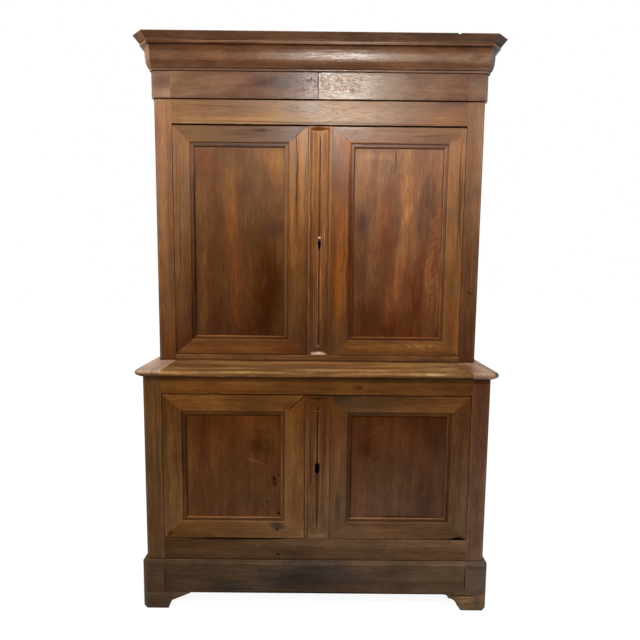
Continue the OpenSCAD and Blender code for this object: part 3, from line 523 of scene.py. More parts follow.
def figured(g, look, grain):
    """The wood's colours: broad bands, streaks and year rings along each board, times its tone, which
    also carries painted light.

    Returns the wood, its fine grain, and the clouds that its wear follows too.
    """
    along, across, depth = g.parts(grain)
    sway = g.centred(g.noise(grain, SWAY))
    swayed = g.vector(along, g.sum(sway, 0.05, across), depth)
    bands = g.noise(swayed, BANDS)
    streaks = g.noise(swayed, closer(STREAKS, look.close), 4.0, 0.62)
    fine = g.noise(swayed, closer(FINE, look.close), 3.0, 0.65)
    cloud = g.noise(grain, CLOUD, 4.0, 0.6)
    shade = g.noise(grain, SHADE, distortion=0.5)
    radius = g.sum(sway, 0.10, g.length(g.attribute("rings")))
    lines = g.steps(g.noise(g.vector(radius, 0.0, 0.0), YEARS), 0.50, 0.68)

    level = g.sum(g.centred(bands), 1.5 * look.bands, 0.52)
    uneven = g.times(g.centred(streaks), g.steps(cloud, 0.35, 0.62, 0.35, 1.0))
    level = g.sum(uneven, 1.2 * look.streaks, level)
    level = g.sum(lines, -0.55 * look.rings, level)
    level = g.sum(g.centred(fine), 0.50, level)
    level = g.sum(g.centred(cloud), 0.75, level, clamp=True)
    colours = (srgb(*colour) for colour in (look.dark, look.middle, look.light))
    wood = g.ramp(level, list(zip((0.0, 0.5, 1.0), colours)))
    wood = g.tinted(wood, g.steps(shade, 0.48, 0.70), WARM)
    wood = g.tinted(wood, g.steps(shade, 0.48, 0.30), COOL)
    return g.tinted(wood, 1.0, g.attribute("tone_and_light")), fine, cloud


def aged(g, wood, look, grain, place):
    """Adds open pores, dark specks, and dirt and painted shade in the crevices, darker where faces come
    close.

    Returns the wood, its pores, and its dirt with painted shade.
    """
    pore = g.steps(g.noise(grain, PORES, 1.0), 0.58, 0.68)
    wood = g.tinted(wood, g.times(pore, 0.42), PORE)
    wood = g.tinted(wood, g.steps(g.noise(place, SPECKS, 4.0, 0.7), 0.63, 0.72, 0.0, 0.6), SPECK)
    # Painted shade and dirt: the wood darkens where other faces come close, in creases, gaps and recesses
    crease = g.node("AmbientOcclusion", Distance=CREASE)
    crease.samples = 6
    dirt_and_shade = g.steps(crease.outputs["AO"], 0.90, 0.35, 0.0, look.grime_and_shade)
    return g.tinted(wood, dirt_and_shade, DIRT_AND_SHADE), pore, dirt_and_shade


def moulding_dirt_shade_and_wear(g, wood, place, cloud, sunk):
    """Dirt and painted shade in a moulding's bed, darkest on faces turned down or to the right, away from
    the light; painted light on its faces turned up; wear with a painted sheen on its shoulder.
    """
    right, _, up = g.parts(g.coordinates("Normal"))
    depth = g.parts(place)[1]
    # Painted shade: the bed darkens most on faces turned down or to the right, away from the light;
    # painted light brightens its faces turned up
    lee_shade = g.steps(g.sum(up, -0.9, g.times(right, 0.8)), -0.35, 0.40, 0.32, 1.0)
    bed = g.between(depth, *(sunk + part for part in BED))
    wood = g.tinted(wood, g.times(bed, lee_shade), BED_DIRT_AND_SHADE)
    wood = g.tinted(wood, g.times(bed, g.steps(up, 0.15, 0.65)), BED_PAINTED_LIGHT)
    # The worn shoulder is lightened with a bluish painted sheen as well as wear
    shoulder = g.between(depth, *(sunk + part for part in SHOULDER))
    shoulder = g.times(shoulder, g.steps(up, 0.30, 0.0, 0.1, 1.0))
    rubbed_and_sheen = g.times(shoulder, g.steps(cloud, 0.34, 0.56, 0.35, 0.9))
    return g.tinted(wood, rubbed_and_sheen, SHOULDER_WEAR_AND_SHEEN)


def relief(g, grain, place, fine, pore, crazed):
    """Fine grain and open pores, slow waves and, where the wax is crazed, its cells."""
    mottle = g.noise(grain, MOTTLE, 3.0, 0.6)
    bumps = g.bump(g.sum(mottle, 0.6, g.sum(pore, -0.6, fine)), 0.35, 0.0008)
    bumps = g.bump(g.noise(grain, WAVES), 0.30, 0.005, bumps)
    if crazed:
        cells = g.noise(place, CELLS, 3.0, 0.6)
        bumps = g.bump(g.times(cells, crazed), 0.35, 0.002, bumps)
    return bumps


def polish(g, look, place, wear_and_highlight, dull):
    """The wax's shine: stronger towards the lamp and on worn edges, which also carry a painted highlight,
    dull on dark marks.
    """
    height = g.parts(place)[2]
    shine = g.steps(height, WAXED_LOW, WAXED_HIGH, DULLED * look.shine, look.shine)
    shine = g.sum(wear_and_highlight, 0.12, shine)
    if dull:
        shine = g.times(shine, g.sum(dull, -0.85, 1.0, clamp=True))
    return shine


def walnut(name, kind, marks, y, sunk, flat):
    """Waxed old walnut that follows the board's own grain direction.

    sunk is the depth at which a moulding starts to hold more dirt and painted shade.
    """
    look = WALNUT[kind]
    g = Graph(bpy.data.materials.new(name))
    grain = g.attribute("grain")
    place = g.coordinates("Object")
    wood, fine, cloud = figured(g, look, grain)
    dull = crazed = None
    if marks:
        wood, dull, crazed = marked(g, wood, place, marks, y, flat)
    wood, pore, dirt_and_shade = aged(g, wood, look, grain, place)
    if sunk:
        wood = moulding_dirt_shade_and_wear(g, wood, place, cloud, sunk)
    wood = g.tinted(wood, g.times(g.attribute("end_grain", "Fac"), 0.6), CUT_END)
    # Worn arrises are lightened as wear and as a painted highlight along the edges
    wear_and_highlight = g.times(g.attribute("arris", "Fac"), g.steps(cloud, 0.38, 0.60, 0.2, 0.9))
    wood = g.tinted(wood, wear_and_highlight, WEAR_AND_HIGHLIGHT)
    rough = g.sum(dirt_and_shade, 0.25, g.sum(g.centred(cloud), 0.30, look.rough), clamp=True)
    g.skin(wood, rough, relief(g, grain, place, fine, pore, crazed), polish(g, look, place, wear_and_highlight, dull))
    return g.owner


# The colour of rust, and how softly a glint starts and ends
RUST, GLINT_EDGE = srgb(86, 54, 36), 0.002


def metal_skin(name, colour, rust=0.1, rough=0.45, glints=()):
    """Dull metal with a little rust; glints are heights between which it has another colour."""
    g = Graph(bpy.data.materials.new(name))
    place = g.coordinates("Object")
    blotch = g.noise(place, 120.0, 4.0, 0.65)
    pits = g.noise(place, 900.0, 2.0, 0.6)
    skin = g.mix(g.times(g.steps(blotch, 0.48, 0.7), rust), srgb(*colour), RUST)
    for low, high, paint in glints:
        within = g.between(g.parts(place)[2], low, low + GLINT_EDGE, high - GLINT_EDGE, high)
        skin = g.mix(within, skin, srgb(*paint))
    roughness = g.sum(blotch, 0.35, rough - 0.15, clamp=True)
    g.skin(skin, roughness, g.bump(pits, 0.4, 0.0004), metallic=0.85)
    return g.owner


def keyhole_shade():
    """Painted shade: the lock bolts are made near black, so that the keyholes read as dark holes."""
    g = Graph(bpy.data.materials.new("keyhole_shade"))
    unevenness = g.noise(g.coordinates("Object"), 300.0, 3.0, 0.6)
    near_black = g.mix(unevenness, (0.002, 0.0015, 0.001), (0.006, 0.005, 0.004))
    g.skin(near_black, g.sum(unevenness, 0.2, 0.8), g.bump(unevenness, 0.3, 0.0005), specular=0.0)
    return g.owner


# Marks that lie on two boards of a door: its open mitres and its stained lower corner
LEFT_MITRE = ("black", 298.3, 133, 0.5, 12, 0.6, 0.6, 42)
RIGHT_MITRE = ("black", 458.4, 137.5, 0.5, 12, 0.6, 0.6, 43)
CORNER_STAIN = ("dark", 171, 532, 6, 4, 0.7, 0.8, -20)
CORNER_CRACK = ("black", 171, 533.6, 4.5, 0.9, 0.8, 0.6, -32)

# Knots, streaks, stains and worn places of single boards, and painted highlights and shade where the
# light falls on them, in the order of Mark's values
MARKS = {
    "upper_posts": [
        ("red", 474, 150, 5, 34, 0.6, 0.9), ("dark", 474, 320, 8, 50, 0.5, 1),
        ("dark", 477, 240, 2.5, 60, 0.3, 0.9, -1), ("honey", 155.5, 200, 2, 130, 0.45, 0.8, -0.5),
        ("black", 469.5, 293, 6, 0.7, 0.7, 0.5, 28), ("dark", 168.6, 200, 0.9, 130, 0.4, 0.8, -0.6),
        ("pale", 482, 160, 1.2, 60, 0.2, 0.9, 1.6), ("umber", 162, 335, 8, 24, 0.4, 1)],
    "upper_top_rail": [
        # The pale and crazed patch in the middle paints the lamp's highlight
        ("pale", 345, 110, 50, 10, 0.3, 1), ("craze_and_glare", 340, 112, 60, 9, 0.5, 0.9),
        ("honey", 235, 119, 60, 3.5, 0.25), ("dark", 225, 106, 58, 1, 0.35, 0.7, 2),
        ("dark", 262, 112, 40, 0.7, 0.35, 0.7, 2), ("umber", 265, 115, 16, 3, 0.3, 0.9),
        ("dark", 400, 107, 60, 0.9, 0.25), ("dark", 320, 122.6, 170, 0.8, 0.7, 0.6, 0.4)],
    "upper_bottom_rail": [
        ("umber", 320, 357, 170, 1.6, 0.5, 0.8, 0.5), ("black", 447, 355.5, 14, 0.8, 0.6, 0.7, 2)],
    "upper_left_stiles": [
        ("black", 180, 232, 0.7, 108, 0.45, 0.6, 0.8), ("dark", 176.5, 180, 1, 50, 0.45, 0.7, 0.4),
        # The purple band and the dark line at the panel's left edge are painted shade on the moulding,
        # which faces away from the light
        ("dark", 184, 250, 1, 50, 0.15, 0.7, 0.6), ("purple", 196.2, 240, 3, 103, 1, 0.3),
        ("dark", 195.2, 240, 1.8, 103, 0.6, 0.4), ("honey", 187.5, 322, 5, 30, 0.4),
        ("honey", 301.8, 230, 3.6, 100, 0.25, 0.7, 0.6), ("orange", 301.5, 165, 3.4, 36, 0.3, 0.8, 0.5),
        ("black", 297, 190, 0.8, 58, 0.7, 0.6, 0.6), ("dark", 298.2, 190, 1.3, 56, 0.4, 0.8, 0.5),
        ("purple", 305.6, 190, 1.2, 62, 0.9, 0.7, 0.5), ("umber", 297, 320, 7, 36, 0.4, 1),
        ("dark", 289.5, 240, 1, 100, 0.6, 0.6), LEFT_MITRE],
    "upper_left_rails": [
        ("dark", 261, 130, 14, 2.4, 0.7, 0.7), ("black", 262, 129.6, 2.4, 0.8, 0.8, 0.6),
        ("dark", 255, 130.2, 30, 0.7, 0.5, 0.7, -2), ("dark", 245, 134, 30, 0.6, 0.4, 0.7, 2),
        ("honey", 245, 348, 62, 4, 0.25), ("olive", 245, 133, 36, 7, 1, 0.9),
        ("umber", 245, 133, 34, 7, 0.35, 0.9), ("dark", 240, 126.2, 64, 0.9, 0.6, 0.7, 0.5),
        LEFT_MITRE, ("umber", 245, 353.6, 66, 1.2, 0.5, 0.8, 0.5)],
    "upper_left_panel": [
        ("red", 207, 170, 9, 34, 0.7, 0.9), ("honey", 220, 180, 4.5, 40, 0.26, 0.6, -1),
        ("honey", 231, 205, 9, 60, 0.32, 0.45, -4), ("orange", 235.5, 268, 9.5, 76, 0.42, 0.4, -3),
        ("olive", 252, 195, 13, 60, 0.9, 0.7, -3), ("honey", 276, 166, 14, 28, 0.62, 0.6, -14),
        ("fleck", 276, 168, 10, 22, 0.2, 0.8, -14), ("purple", 275, 228, 14, 14, 1, 0.9),
        ("honey", 204, 292, 5.5, 60, 0.42, 0.7, 2), ("umber", 266, 290, 20, 66, 0.8, 0.6),
        ("umber", 216, 316, 10, 46, 0.35, 0.9), ("umber", 245, 332, 60, 16, 0.3, 1),
        ("red", 250, 325, 50, 24, 0.6, 1), ("dark", 221, 218, 1.2, 40, 0.25, 0.8, -2)],
    "upper_right_stiles": [
        ("orange", 338, 292, 5.5, 66, 0.28, 0.8, 0.5), ("honey", 338, 275, 4.5, 64, 0.34, 0.8, 0.5),
        ("honey", 453, 215, 5.5, 100, 0.2, 0.8, 0.4), ("dark", 462.5, 186, 1.5, 40, 0.5, 0.6, 1.3),
        ("black", 460.2, 195, 0.7, 58, 0.6, 0.6, -0.4), ("olive", 335, 160, 5, 40, 0.6, 0.9),
        # The wider dark band at the panel's left edge is painted shade on the moulding, which faces away
        # from the light
        ("dark", 343, 250, 0.9, 90, 0.4, 0.7, 0.5), ("dark", 348.6, 240, 3, 101, 0.55, 0.5),
        ("bare", 346, 240, 0.7, 100, 0.1, 0.7), ("bare", 442.6, 240, 0.7, 100, 0.12, 0.7),
        ("purple", 441, 240, 2.5, 100, 0.5, 0.6), RIGHT_MITRE,
        ("umber", 452, 330, 7, 30, 0.3, 1)],
    "upper_right_rails": [
        ("pale", 422, 347, 22, 4, 0.22, 0.9), ("fleck", 415, 347, 36, 5, 0.7, 0.7),
        ("honey", 380, 347, 40, 5, 0.25, 0.9), ("pale", 365, 131, 26, 3.4, 0.16, 1),
        ("dark", 430, 136, 30, 1, 0.5, 0.7, -2), ("dark", 400, 131, 40, 0.7, 0.4, 0.7, 1),
        RIGHT_MITRE, ("umber", 395, 353.6, 66, 1.4, 0.5, 0.8, 0.5)],
    "upper_right_panel": [
        ("honey", 362, 174, 12, 38, 0.64, 0.7, 8), ("pale", 376, 156, 24, 6, 0.25, 0.9),
        ("black", 396, 158, 0.8, 10, 0.8, 0.6), ("purple", 395, 168, 6, 9, 0.9),
        ("purple", 361, 226, 12, 22, 1, 0.9), ("grey", 361, 226, 10, 17, 0.8, 0.9),
        ("red", 384, 225, 10, 60, 0.85, 0.8, 2), ("honey", 407, 186, 9, 50, 0.6, 0.5, 3),
        ("honey", 403, 250, 8, 60, 0.6, 0.5, 5), ("orange", 390, 300, 9, 46, 0.42, 0.7, 8),
        ("purple", 427, 215, 11, 60, 1, 0.6, 3), ("umber", 417, 290, 9, 54, 0.55, 0.7, 6),
        ("ripple", 434, 255, 9, 86, 0.6, 0.5, 3), ("honey", 438.7, 285, 2.4, 58, 0.4, 0.6, 3),
        ("umber", 368, 316, 20, 34, 0.45, 0.9), ("umber", 395, 331, 60, 12, 0.3, 1),
        ("dark", 409, 240, 0.9, 60, 0.3, 0.8, 5)],
    "upper_strip": [
        ("umber", 312, 300, 4, 64, 0.4, 1), ("umber", 326, 325, 5, 46, 0.6, 1),
        # The light patch at the foot is a painted highlight on the bevel there, which faces up, and the
        # dark line above it is painted shade on the groove's end, which faces down
        ("honey", 313, 180, 3, 56, 0.35, 0.8, 0.4), ("bare", 318, 355.2, 9.6, 4, 0.9, 0.4, 0.5),
        ("dark", 318.2, 349.9, 8, 1.5, 0.8, 0.7), ("bare", 317.7, 346.4, 1.8, 0.9, 0.35),
        ("bare", 318.3, 131.6, 8, 0.7, 0.22, 0.7, 0.5), ("dark", 318.9, 330, 1.4, 20, 0.4),
        # Light lines on the fillets and dark lines in the bevels paint the light and shade of the strip's
        # profile
        ("bare", 308.6, 240, 0.8, 108, 0.16, 0.7), ("dark", 310.8, 240, 0.8, 108, 0.55, 0.6),
        ("dark", 327.6, 240, 1, 108, 0.65, 0.6), ("bare", 324.8, 240, 0.7, 106, 0.12, 0.7),
        ("purple", 309, 265, 2, 50, 0.5, 0.9, 0.4), ("umber", 318.5, 128.9, 8, 3.2, 1, 0.5)],
    "base_posts": [
        ("dark", 158, 470, 3, 90, 0.4, 1), ("grey", 480, 510, 9, 60, 0.5, 1),
        ("honey", 155, 430, 1, 60, 0.3, 0.9, -1), ("dark", 163.6, 480, 0.9, 90, 0.6, 0.7)],
    "base_top_rail": [
        ("black", 360, 388, 2.2, 1.4, 0.8, 0.8, 20), ("dark", 358, 388, 9, 4, 0.7, 0.9),
        ("orange", 210, 387, 50, 5, 0.25, 1), ("umber", 320, 386, 96, 7, 0.28, 1),
        ("dark", 260, 391.5, 60, 0.8, 0.5, 0.7, 0.4)],
    "base_bottom_rail": [
        ("black", 278, 554, 2.4, 1.3, 1, 0.6), ("pale", 296, 549, 8, 3, 0.14, 0.9),
        ("black", 235, 538.8, 72, 0.8, 0.9, 0.5, 0.3), ("black", 164.4, 549, 0.7, 12, 0.8, 0.5),
        ("black", 466.4, 551, 0.6, 12, 0.4, 0.5)],
    "base_left_panel": [
        ("orange", 215, 440, 26, 30, 0.25, 1), ("dark", 260, 446, 20, 15, 0.4, 0.9, 25),
        ("knot", 259, 447, 18, 15, 0.3, 0.8, 25), ("umber", 262, 431, 20, 3.4, 0.45, 0.9, 10),
        ("dark", 255, 443, 6, 1.4, 0.6, 0.8, 35), ("dark", 263, 451, 7, 1.6, 0.6, 0.8, -25),
        ("dark", 253, 451, 4.5, 1.3, 0.5, 0.8, 60), ("dark", 267, 442, 5, 1.3, 0.5, 0.8, -60),
        ("honey", 257, 461, 12, 1.5, 0.6, 0.7, 20), ("honey", 273, 450, 5, 1, 0.35, 0.7, -40),
        ("dark", 275, 481, 4, 8, 0.8, 0.6), ("slate", 250, 500, 36, 16, 0.5, 1),
        ("black", 274.4, 477, 1.8, 2.4, 0.8, 0.7, 20), ("black", 276, 484, 1.2, 2.6, 0.6, 0.7, -10),
        ("black", 279, 512.8, 1.9, 1.6, 1, 0.6), ("black", 240, 478.5, 1.1, 1, 0.9, 0.6),
        ("black", 267, 502, 1, 2.2, 0.8, 0.6, -20), ("black", 278.8, 475, 1.1, 1.4, 0.9, 0.6)],
    "base_left_stiles": [
        ("honey", 170, 440, 3.2, 60, 0.16), ("dark", 177.5, 470, 1.8, 62, 0.55, 0.8, -2),
        CORNER_STAIN, ("honey", 298, 430, 3, 40, 0.18, 0.9),
        # The purple band and the dark lines by the panel's left edge are painted shade on the moulding,
        # which faces away from the light
        CORNER_CRACK, ("purple", 186, 464, 4.2, 52, 0.7, 0.3),
        ("dark", 188.4, 464, 1.5, 52, 0.6, 0.5), ("dark", 168.5, 490, 0.7, 40, 0.4, 0.7),
        ("dark", 183, 468, 1, 56, 0.5, 0.7), ("fleck", 302, 451, 3, 5, 0.5)],
    "base_left_rails": [
        ("slate", 277, 526, 10.5, 6.5, 1, 0.5, 10), ("dark", 277, 526, 9.5, 5.5, 0.6, 0.7, 10),
        ("knot", 276, 529, 4, 3, 0.8, 0.6), ("black", 277, 530, 2.2, 1.6, 0.8, 0.7),
        ("honey", 215, 402, 36, 4, 0.14, 1), CORNER_STAIN,
        CORNER_CRACK, ("dark", 235, 400, 40, 0.8, 0.4, 0.7, 1),
        ("black", 235, 537.8, 72, 0.8, 0.9, 0.5, 0.3), ("dark", 238, 520.5, 54, 0.7, 0.6, 0.6),
        ("dark", 288, 405, 12, 4, 0.5, 0.9, -30), ("pale", 299, 398.4, 7, 0.9, 0.3, 0.6, -43)],
    "base_right_panel": [
        ("red", 372, 440, 26, 26, 0.6, 1), ("dark", 367, 448, 16, 16, 0.4, 0.9, -30),
        ("knot", 366, 450, 16, 16, 0.28, 0.8, -35), ("umber", 376, 458, 12, 3.5, 0.5, 0.8, -35),
        ("dark", 372, 438, 12, 1.3, 0.5, 0.8, -42), ("dark", 364, 446, 9, 1.2, 0.5, 0.8, -65),
        ("dark", 369, 455, 6, 1.2, 0.45, 0.8, 30), ("orange", 405, 440, 14, 26, 0.26, 0.9),
        ("slate", 400, 497, 44, 16, 0.5, 1), ("honey", 380, 428, 16, 1.6, 0.22, 0.8, -20),
        ("black", 400, 516.6, 46, 0.7, 0.7, 0.6)],
    "base_right_stiles": [
        ("slate", 338, 505, 5, 20, 0.9, 0.7), ("dark", 337, 506, 4, 18, 0.55),
        ("dark", 334, 460, 1, 50, 0.4), ("honey", 455, 450, 3, 50, 0.2, 1),
        ("olive", 336, 403, 7, 10, 0.8, 0.9), ("dark", 336, 400, 8, 8, 0.6, 0.9),
        ("dark", 351.5, 464, 1.6, 52, 0.5, 0.5), ("pale", 345, 535, 7, 0.8, 0.2, 0.7, -40)],
    "base_right_rails": [
        ("honey", 395, 530, 44, 3, 0.25, 0.9), ("craze_and_glare", 390, 530, 54, 5, 0.4, 0.7),
        ("olive", 344, 400, 20, 6, 0.9, 0.9), ("dark", 340, 398, 18, 5, 0.7, 0.9),
        ("black", 350, 396.6, 22, 0.8, 0.6, 0.7), ("dark", 420, 403, 30, 0.8, 0.4, 0.7)],
    "base_strip": [
        ("grey", 316, 398, 12, 5, 0.8, 0.9), ("pale", 316, 396.5, 11, 1.2, 0.2),
        ("umber", 325, 440, 3, 40, 0.3, 0.9), ("bare", 316.5, 411.5, 5, 0.9, 0.2, 0.7),
        # Light lines on the fillets and dark lines in the bevels paint the light and shade of the strip's
        # profile
        ("bare", 308.4, 440, 0.7, 44, 0.16), ("dark", 310.6, 464, 0.9, 60, 0.6, 0.6),
        ("bare", 327.2, 460, 0.6, 60, 0.1), ("dark", 323.6, 464, 0.8, 60, 0.5, 0.6),
        # Black round the keyhole and in the corners of its recess paints the shade inside the recess
        ("black", 317.2, 467.4, 2, 5.6, 1, 0.25), ("dark", 312, 470, 1.6, 24, 0.3, 0.9),
        *(("black", px, py, 1.3, 2, 1, 0.3) for px in (315.9, 318.5) for py in (464.7, 470.3)),
        *(("black", px, 475.4, 0.9, 1.2, 0.9, 0.5) for px in (315.6, 319.1)),
        ("red", 317.4, 480, 1.2, 60, 0.8), ("grey", 320.4, 468, 0.9, 8, 0.8, 0.7)],
    "countertop": [
        ("pale", 345, 370.3, 88, 1.8, 0.62, 0.7, -0.5), ("bare", 338, 369.6, 60, 0.8, 0.14, 0.8, -0.5),
        ("pale", 190, 371.4, 60, 0.9, 0.4, 0.6), ("pale", 300, 371.8, 180, 0.9, 0.35, 0.6, 0.5),
        ("honey", 410, 366, 90, 5, 0.4, 0.9), ("umber", 320, 357.5, 160, 1.6, 0.5, 0.9),
        ("purple", 345, 360, 50, 2.5, 0.7), ("dark", 240, 366, 60, 0.8, 0.35),
        ("umber", 412, 362.6, 60, 2.4, 0.55, 0.9), ("pale", 418, 370, 52, 1.5, 0.5, 0.8, 0.3),
        ("umber", 266, 369, 34, 2.4, 0.4, 0.9), ("pale", 455, 370.5, 22, 3.2, 0.45, 0.9),
        ("black", 386, 362, 2, 0.8, 0.7, 0.7), ("dark", 300, 363.5, 50, 0.7, 0.4, 0.8, 0.4),
        ("dark", 390, 369, 40, 0.7, 0.35), ("dark", 205, 375.2, 130, 2.4, 0.65, 0.7, 0, NOSE_Y),
        ("pale", 430, 374.6, 110, 2.6, 0.32, 0.8, 0, NOSE_Y),
        # The black line under the nose is a painted shadow
        ("black", 320, 378.6, 600, 0.7, 0.6, 0.6, 0, NOSE_Y)],
    "countertop_ends": [
        ("black", 497.5, 376, 2.2, 2.6, 0.8, 0.6, 0, NOSE_Y),
        ("dark", 150, 375.6, 40, 3.2, 1, 0.5, 0, NOSE_Y),
        ("umber", 150, 375.6, 40, 3.2, 0.6, 0.5, 0, NOSE_Y),
        ("knot", 495.5, 375, 3, 3, 0.5, 0.6, 0, NOSE_Y), ("umber", 465, 366, 12, 12, 0.9, 1),
        ("dark", 464, 367, 9, 12, 0.35, 1), ("umber", 480, 371, 14, 1.2, 0.3)],
    "plinth_front": [
        ("slate", 308, 576, 68, 22, 1, 0.35), ("slate", 318, 574, 40, 14, 0.35, 0.7),
        ("slate", 236, 586, 36, 8, 1, 0.6), ("dark", 300, 580, 50, 12, 0.25, 0.9),
        ("slate", 405, 586, 24, 7, 0.6, 0.9), ("black", 165, 577, 0.6, 18, 0.85, 0.5),
        ("black", 465.2, 577, 0.6, 18, 0.9, 0.5), ("honey", 190, 560.5, 44, 1.6, 0.35),
        ("pale", 330, 561.6, 30, 1, 0.15, 0.9), ("fleck", 300, 564, 50, 3, 0.25, 0.9),
        # The black line along the plinth's lower edge is painted shade
        ("black", 320, 592.6, 170, 1, 0.8, 0.6)],
    "plinth_corners": [("grey", 150, 575, 14, 16, 0.3, 1), ("honey", 150, 560, 12, 1.6, 0.6)],
    "front_feet": [
        ("fleck", 468, 601, 10, 7, 0.3), ("umber", 451, 601, 9, 9, 0.7, 0.9),
        # The black line along the right foot's top edge is a painted shadow
        ("slate", 451, 601, 10, 9, 0.7, 0.9), ("black", 462, 595.4, 22, 0.9, 1, 0.5),
        ("slate", 477, 601, 6, 10, 0.8, 0.7), ("dark", 477, 601, 5, 10, 0.3),
        ("honey", 464, 602, 8, 4, 0.4, 0.9), ("dark", 155, 602, 14, 7, 0.3, 0.9),
        ("pale", 466, 597, 14, 0.8, 0.2)],
    "frieze_front": [
        ("purple", 284, 82, 38, 10, 1, 0.9, -3), ("grey", 290, 82, 30, 9, 0.8, 0.9),
        ("dark", 262, 83, 15, 4, 0.45, 0.9, -8), ("dark", 242, 85, 24, 7, 0.22, 1, -6),
        # The crazed and pale patches in the middle paint the lamp's glare on the crazed wax
        ("craze_and_glare", 330, 84, 44, 13, 0.9), ("craze_and_glare", 354, 87, 16, 8, 0.7),
        ("pale", 334, 80, 22, 9, 0.13, 0.9), ("craze_and_glare", 299, 90, 14, 7, 0.7),
        ("knot", 352, 91, 3, 2.4, 1, 0.6), ("knot", 358.5, 91.4, 2.4, 2.4, 0.9, 0.6),
        ("orange", 299, 95, 12, 3.4, 0.35, 0.9), ("honey", 200, 79, 16, 3, 0.2, 0.9, -10),
        ("dark", 205, 88, 24, 1.2, 0.3, 0.8, -3), ("black", 318.4, 84, 0.6, 14, 0.7, 0.5, 0.6)],
    "frieze_corners": [("dark", 160, 84, 8, 16, 0.25, 1)],
    "cornice_front": [
        # The long bands paint the light on the profile: shade on the fascia, the cove and the lower
        # bulge, which face down, and a highlight on the fillet
        ("dark", 320, 34, 600, 7, 0.62, 0.25, 0, FASCIA_Y), ("grey", 445, 35, 34, 5, 0.5, 1, 0, FASCIA_Y),
        ("dark", 455, 35, 30, 5, 0.4, 1, 0, FASCIA_Y), ("dark", 466, 48, 14, 3, 0.75, 0.8, 0, COVE_Y),
        ("orange", 166, 56, 20, 4, 0.42, 0.9), ("orange", 216, 56.5, 22, 3.6, 0.4, 0.9, -2),
        ("orange", 437, 55, 20, 4.5, 0.32, 0.9, -8), ("umber", 200, 56, 60, 10, 0.55, 1),
        ("umber", 250, 60, 30, 4, 0.3, 1), ("umber", 320, 63.4, 600, 4.4, 0.8, 0.7),
        ("umber", 320, 47, 600, 7, 0.75, 0.5), ("dark", 478, 57, 10, 5, 0.4, 1),
        ("honey", 320, 40.8, 600, 1.3, 0.45, 0.8, 0, FILLET_Y),
        ("bare", 300, 41.1, 300, 1.1, 0.22, 0.8, 0, FILLET_Y), ("dark", 200, 60, 30, 1, 0.3, 0.8, 2)],
    "cornice_corners": [
        # As on the front, the long bands are painted shade on the fascia and the lower bulge
        ("dark", 320, 34, 600, 7, 0.6, 0.25, 0, FASCIA_Y), ("pale", 144, 52, 4, 12, 0.12, 0.9),
        ("umber", 320, 64, 600, 4.5, 0.5, 0.7)],
}


# Damage that is cut into the boards: cracks and open joints as paths of (px, py, half width)
LEFT_CRACK = [(296.2, 136, 0.3), (297.2, 160, 0.6), (297.8, 176, 0.5),
              (296.4, 196, 0.6), (295.2, 215, 0.45), (293.6, 246, 0.15)]
RIGHT_CRACK = [(464.6, 133, 0.3), (461.8, 150, 0.6), (460.0, 170, 0.6),
               (459.3, 200, 0.7), (460.2, 232, 0.65), (461.2, 252, 0.2)]
PANEL_CRACK = [(396, 150, 0.6), (396.3, 160, 0.45), (395.6, 171, 0.1)]
RAIL_CRACK = [(438, 353.4, 0.2), (447, 354.2, 0.6), (457, 354.6, 0.3)]
STRIP_CRACK = [(307.5, 483, 0.3), (307.7, 500, 0.7), (307.4, 537, 0.7)]
MITRE_GAP = [(304.6, 395.2, 0.5), (298, 401.5, 0.8), (291, 408, 0.9), (288.4, 410.6, 0.4)]

# Chips and the widened keyhole as outlines of (px, py)
CORNICE_CHIP = [(457.4, 29), (462.8, 29), (461.6, 33.4), (460.4, 34.0), (458.9, 33.7)]
KEYHOLE = [(315.0, 461.9), (319.5, 461.9), (319.5, 472.3), (315.0, 472.3)]
BROKEN_EDGE = [(422, 541), (436, 539.7), (446, 539.2), (451, 538.6), (455, 537.8), (459, 537.5),
               (462.5, 537.8), (464.4, 539.4), (464.6, 545), (422, 545)]

# Worm and nail holes as (px, py, radius)
PANEL_HOLES = [(275, 479, 1.2), (240, 478, 0.6), (267, 502, 0.8), (279, 512, 1.1), (278.5, 475, 0.8)]
STRIP_HOLES = [(315.8, 475.4, 0.8), (319.0, 475.4, 0.8)]
TOP_POST_HOLE, BASE_POST_HOLE = (166.4, 110, 0.8), (477, 515, 0.9)

# How far cuts start before the face, and how deep each kind goes
AHEAD, BITE_AHEAD = 0.004, 0.006
SCRATCH, GAP, KEYHOLE_DEEP, EDGE_DEEP, CHIP_DEEP = 0.004, 0.006, 0.012, 0.016, 0.04

# The sides of holes and beads, and how wide a hole is at its end
HOLE_SIDES, BEAD_SIDES, HOLE_END = 9, 8, 0.5


def closed(bm):
    """Turns a solid's faces outwards."""
    bmesh.ops.recalc_face_normals(bm, faces=bm.faces)
    return bm


def groove(path, y, deep=SCRATCH):
    """A V-shaped cut along a path of (px, py, half width)."""
    middles = [seen_at(px, py, y) for px, py, _ in path]
    bm = bmesh.new()
    rows = []
    for i, (_, _, half) in enumerate(path):
        run = (middles[min(i + 1, len(path) - 1)] - middles[max(i - 1, 0)]).normalized()
        side = Vector((run.z, 0, -run.x)) * half * pixel(y) * (deep + AHEAD) / deep
        front, root = middles[i] - Vector((0, AHEAD, 0)), middles[i] + Vector((0, deep, 0))
        rows.append([bm.verts.new(p) for p in (front - side, front + side, root)])
    for a, b in zip(rows, rows[1:]):
        for i in range(3):
            j = (i + 1) % 3
            bm.faces.new((a[i], a[j], b[j], b[i]))
    bm.faces.new(rows[0])
    bm.faces.new(rows[-1][::-1])
    return closed(bm)


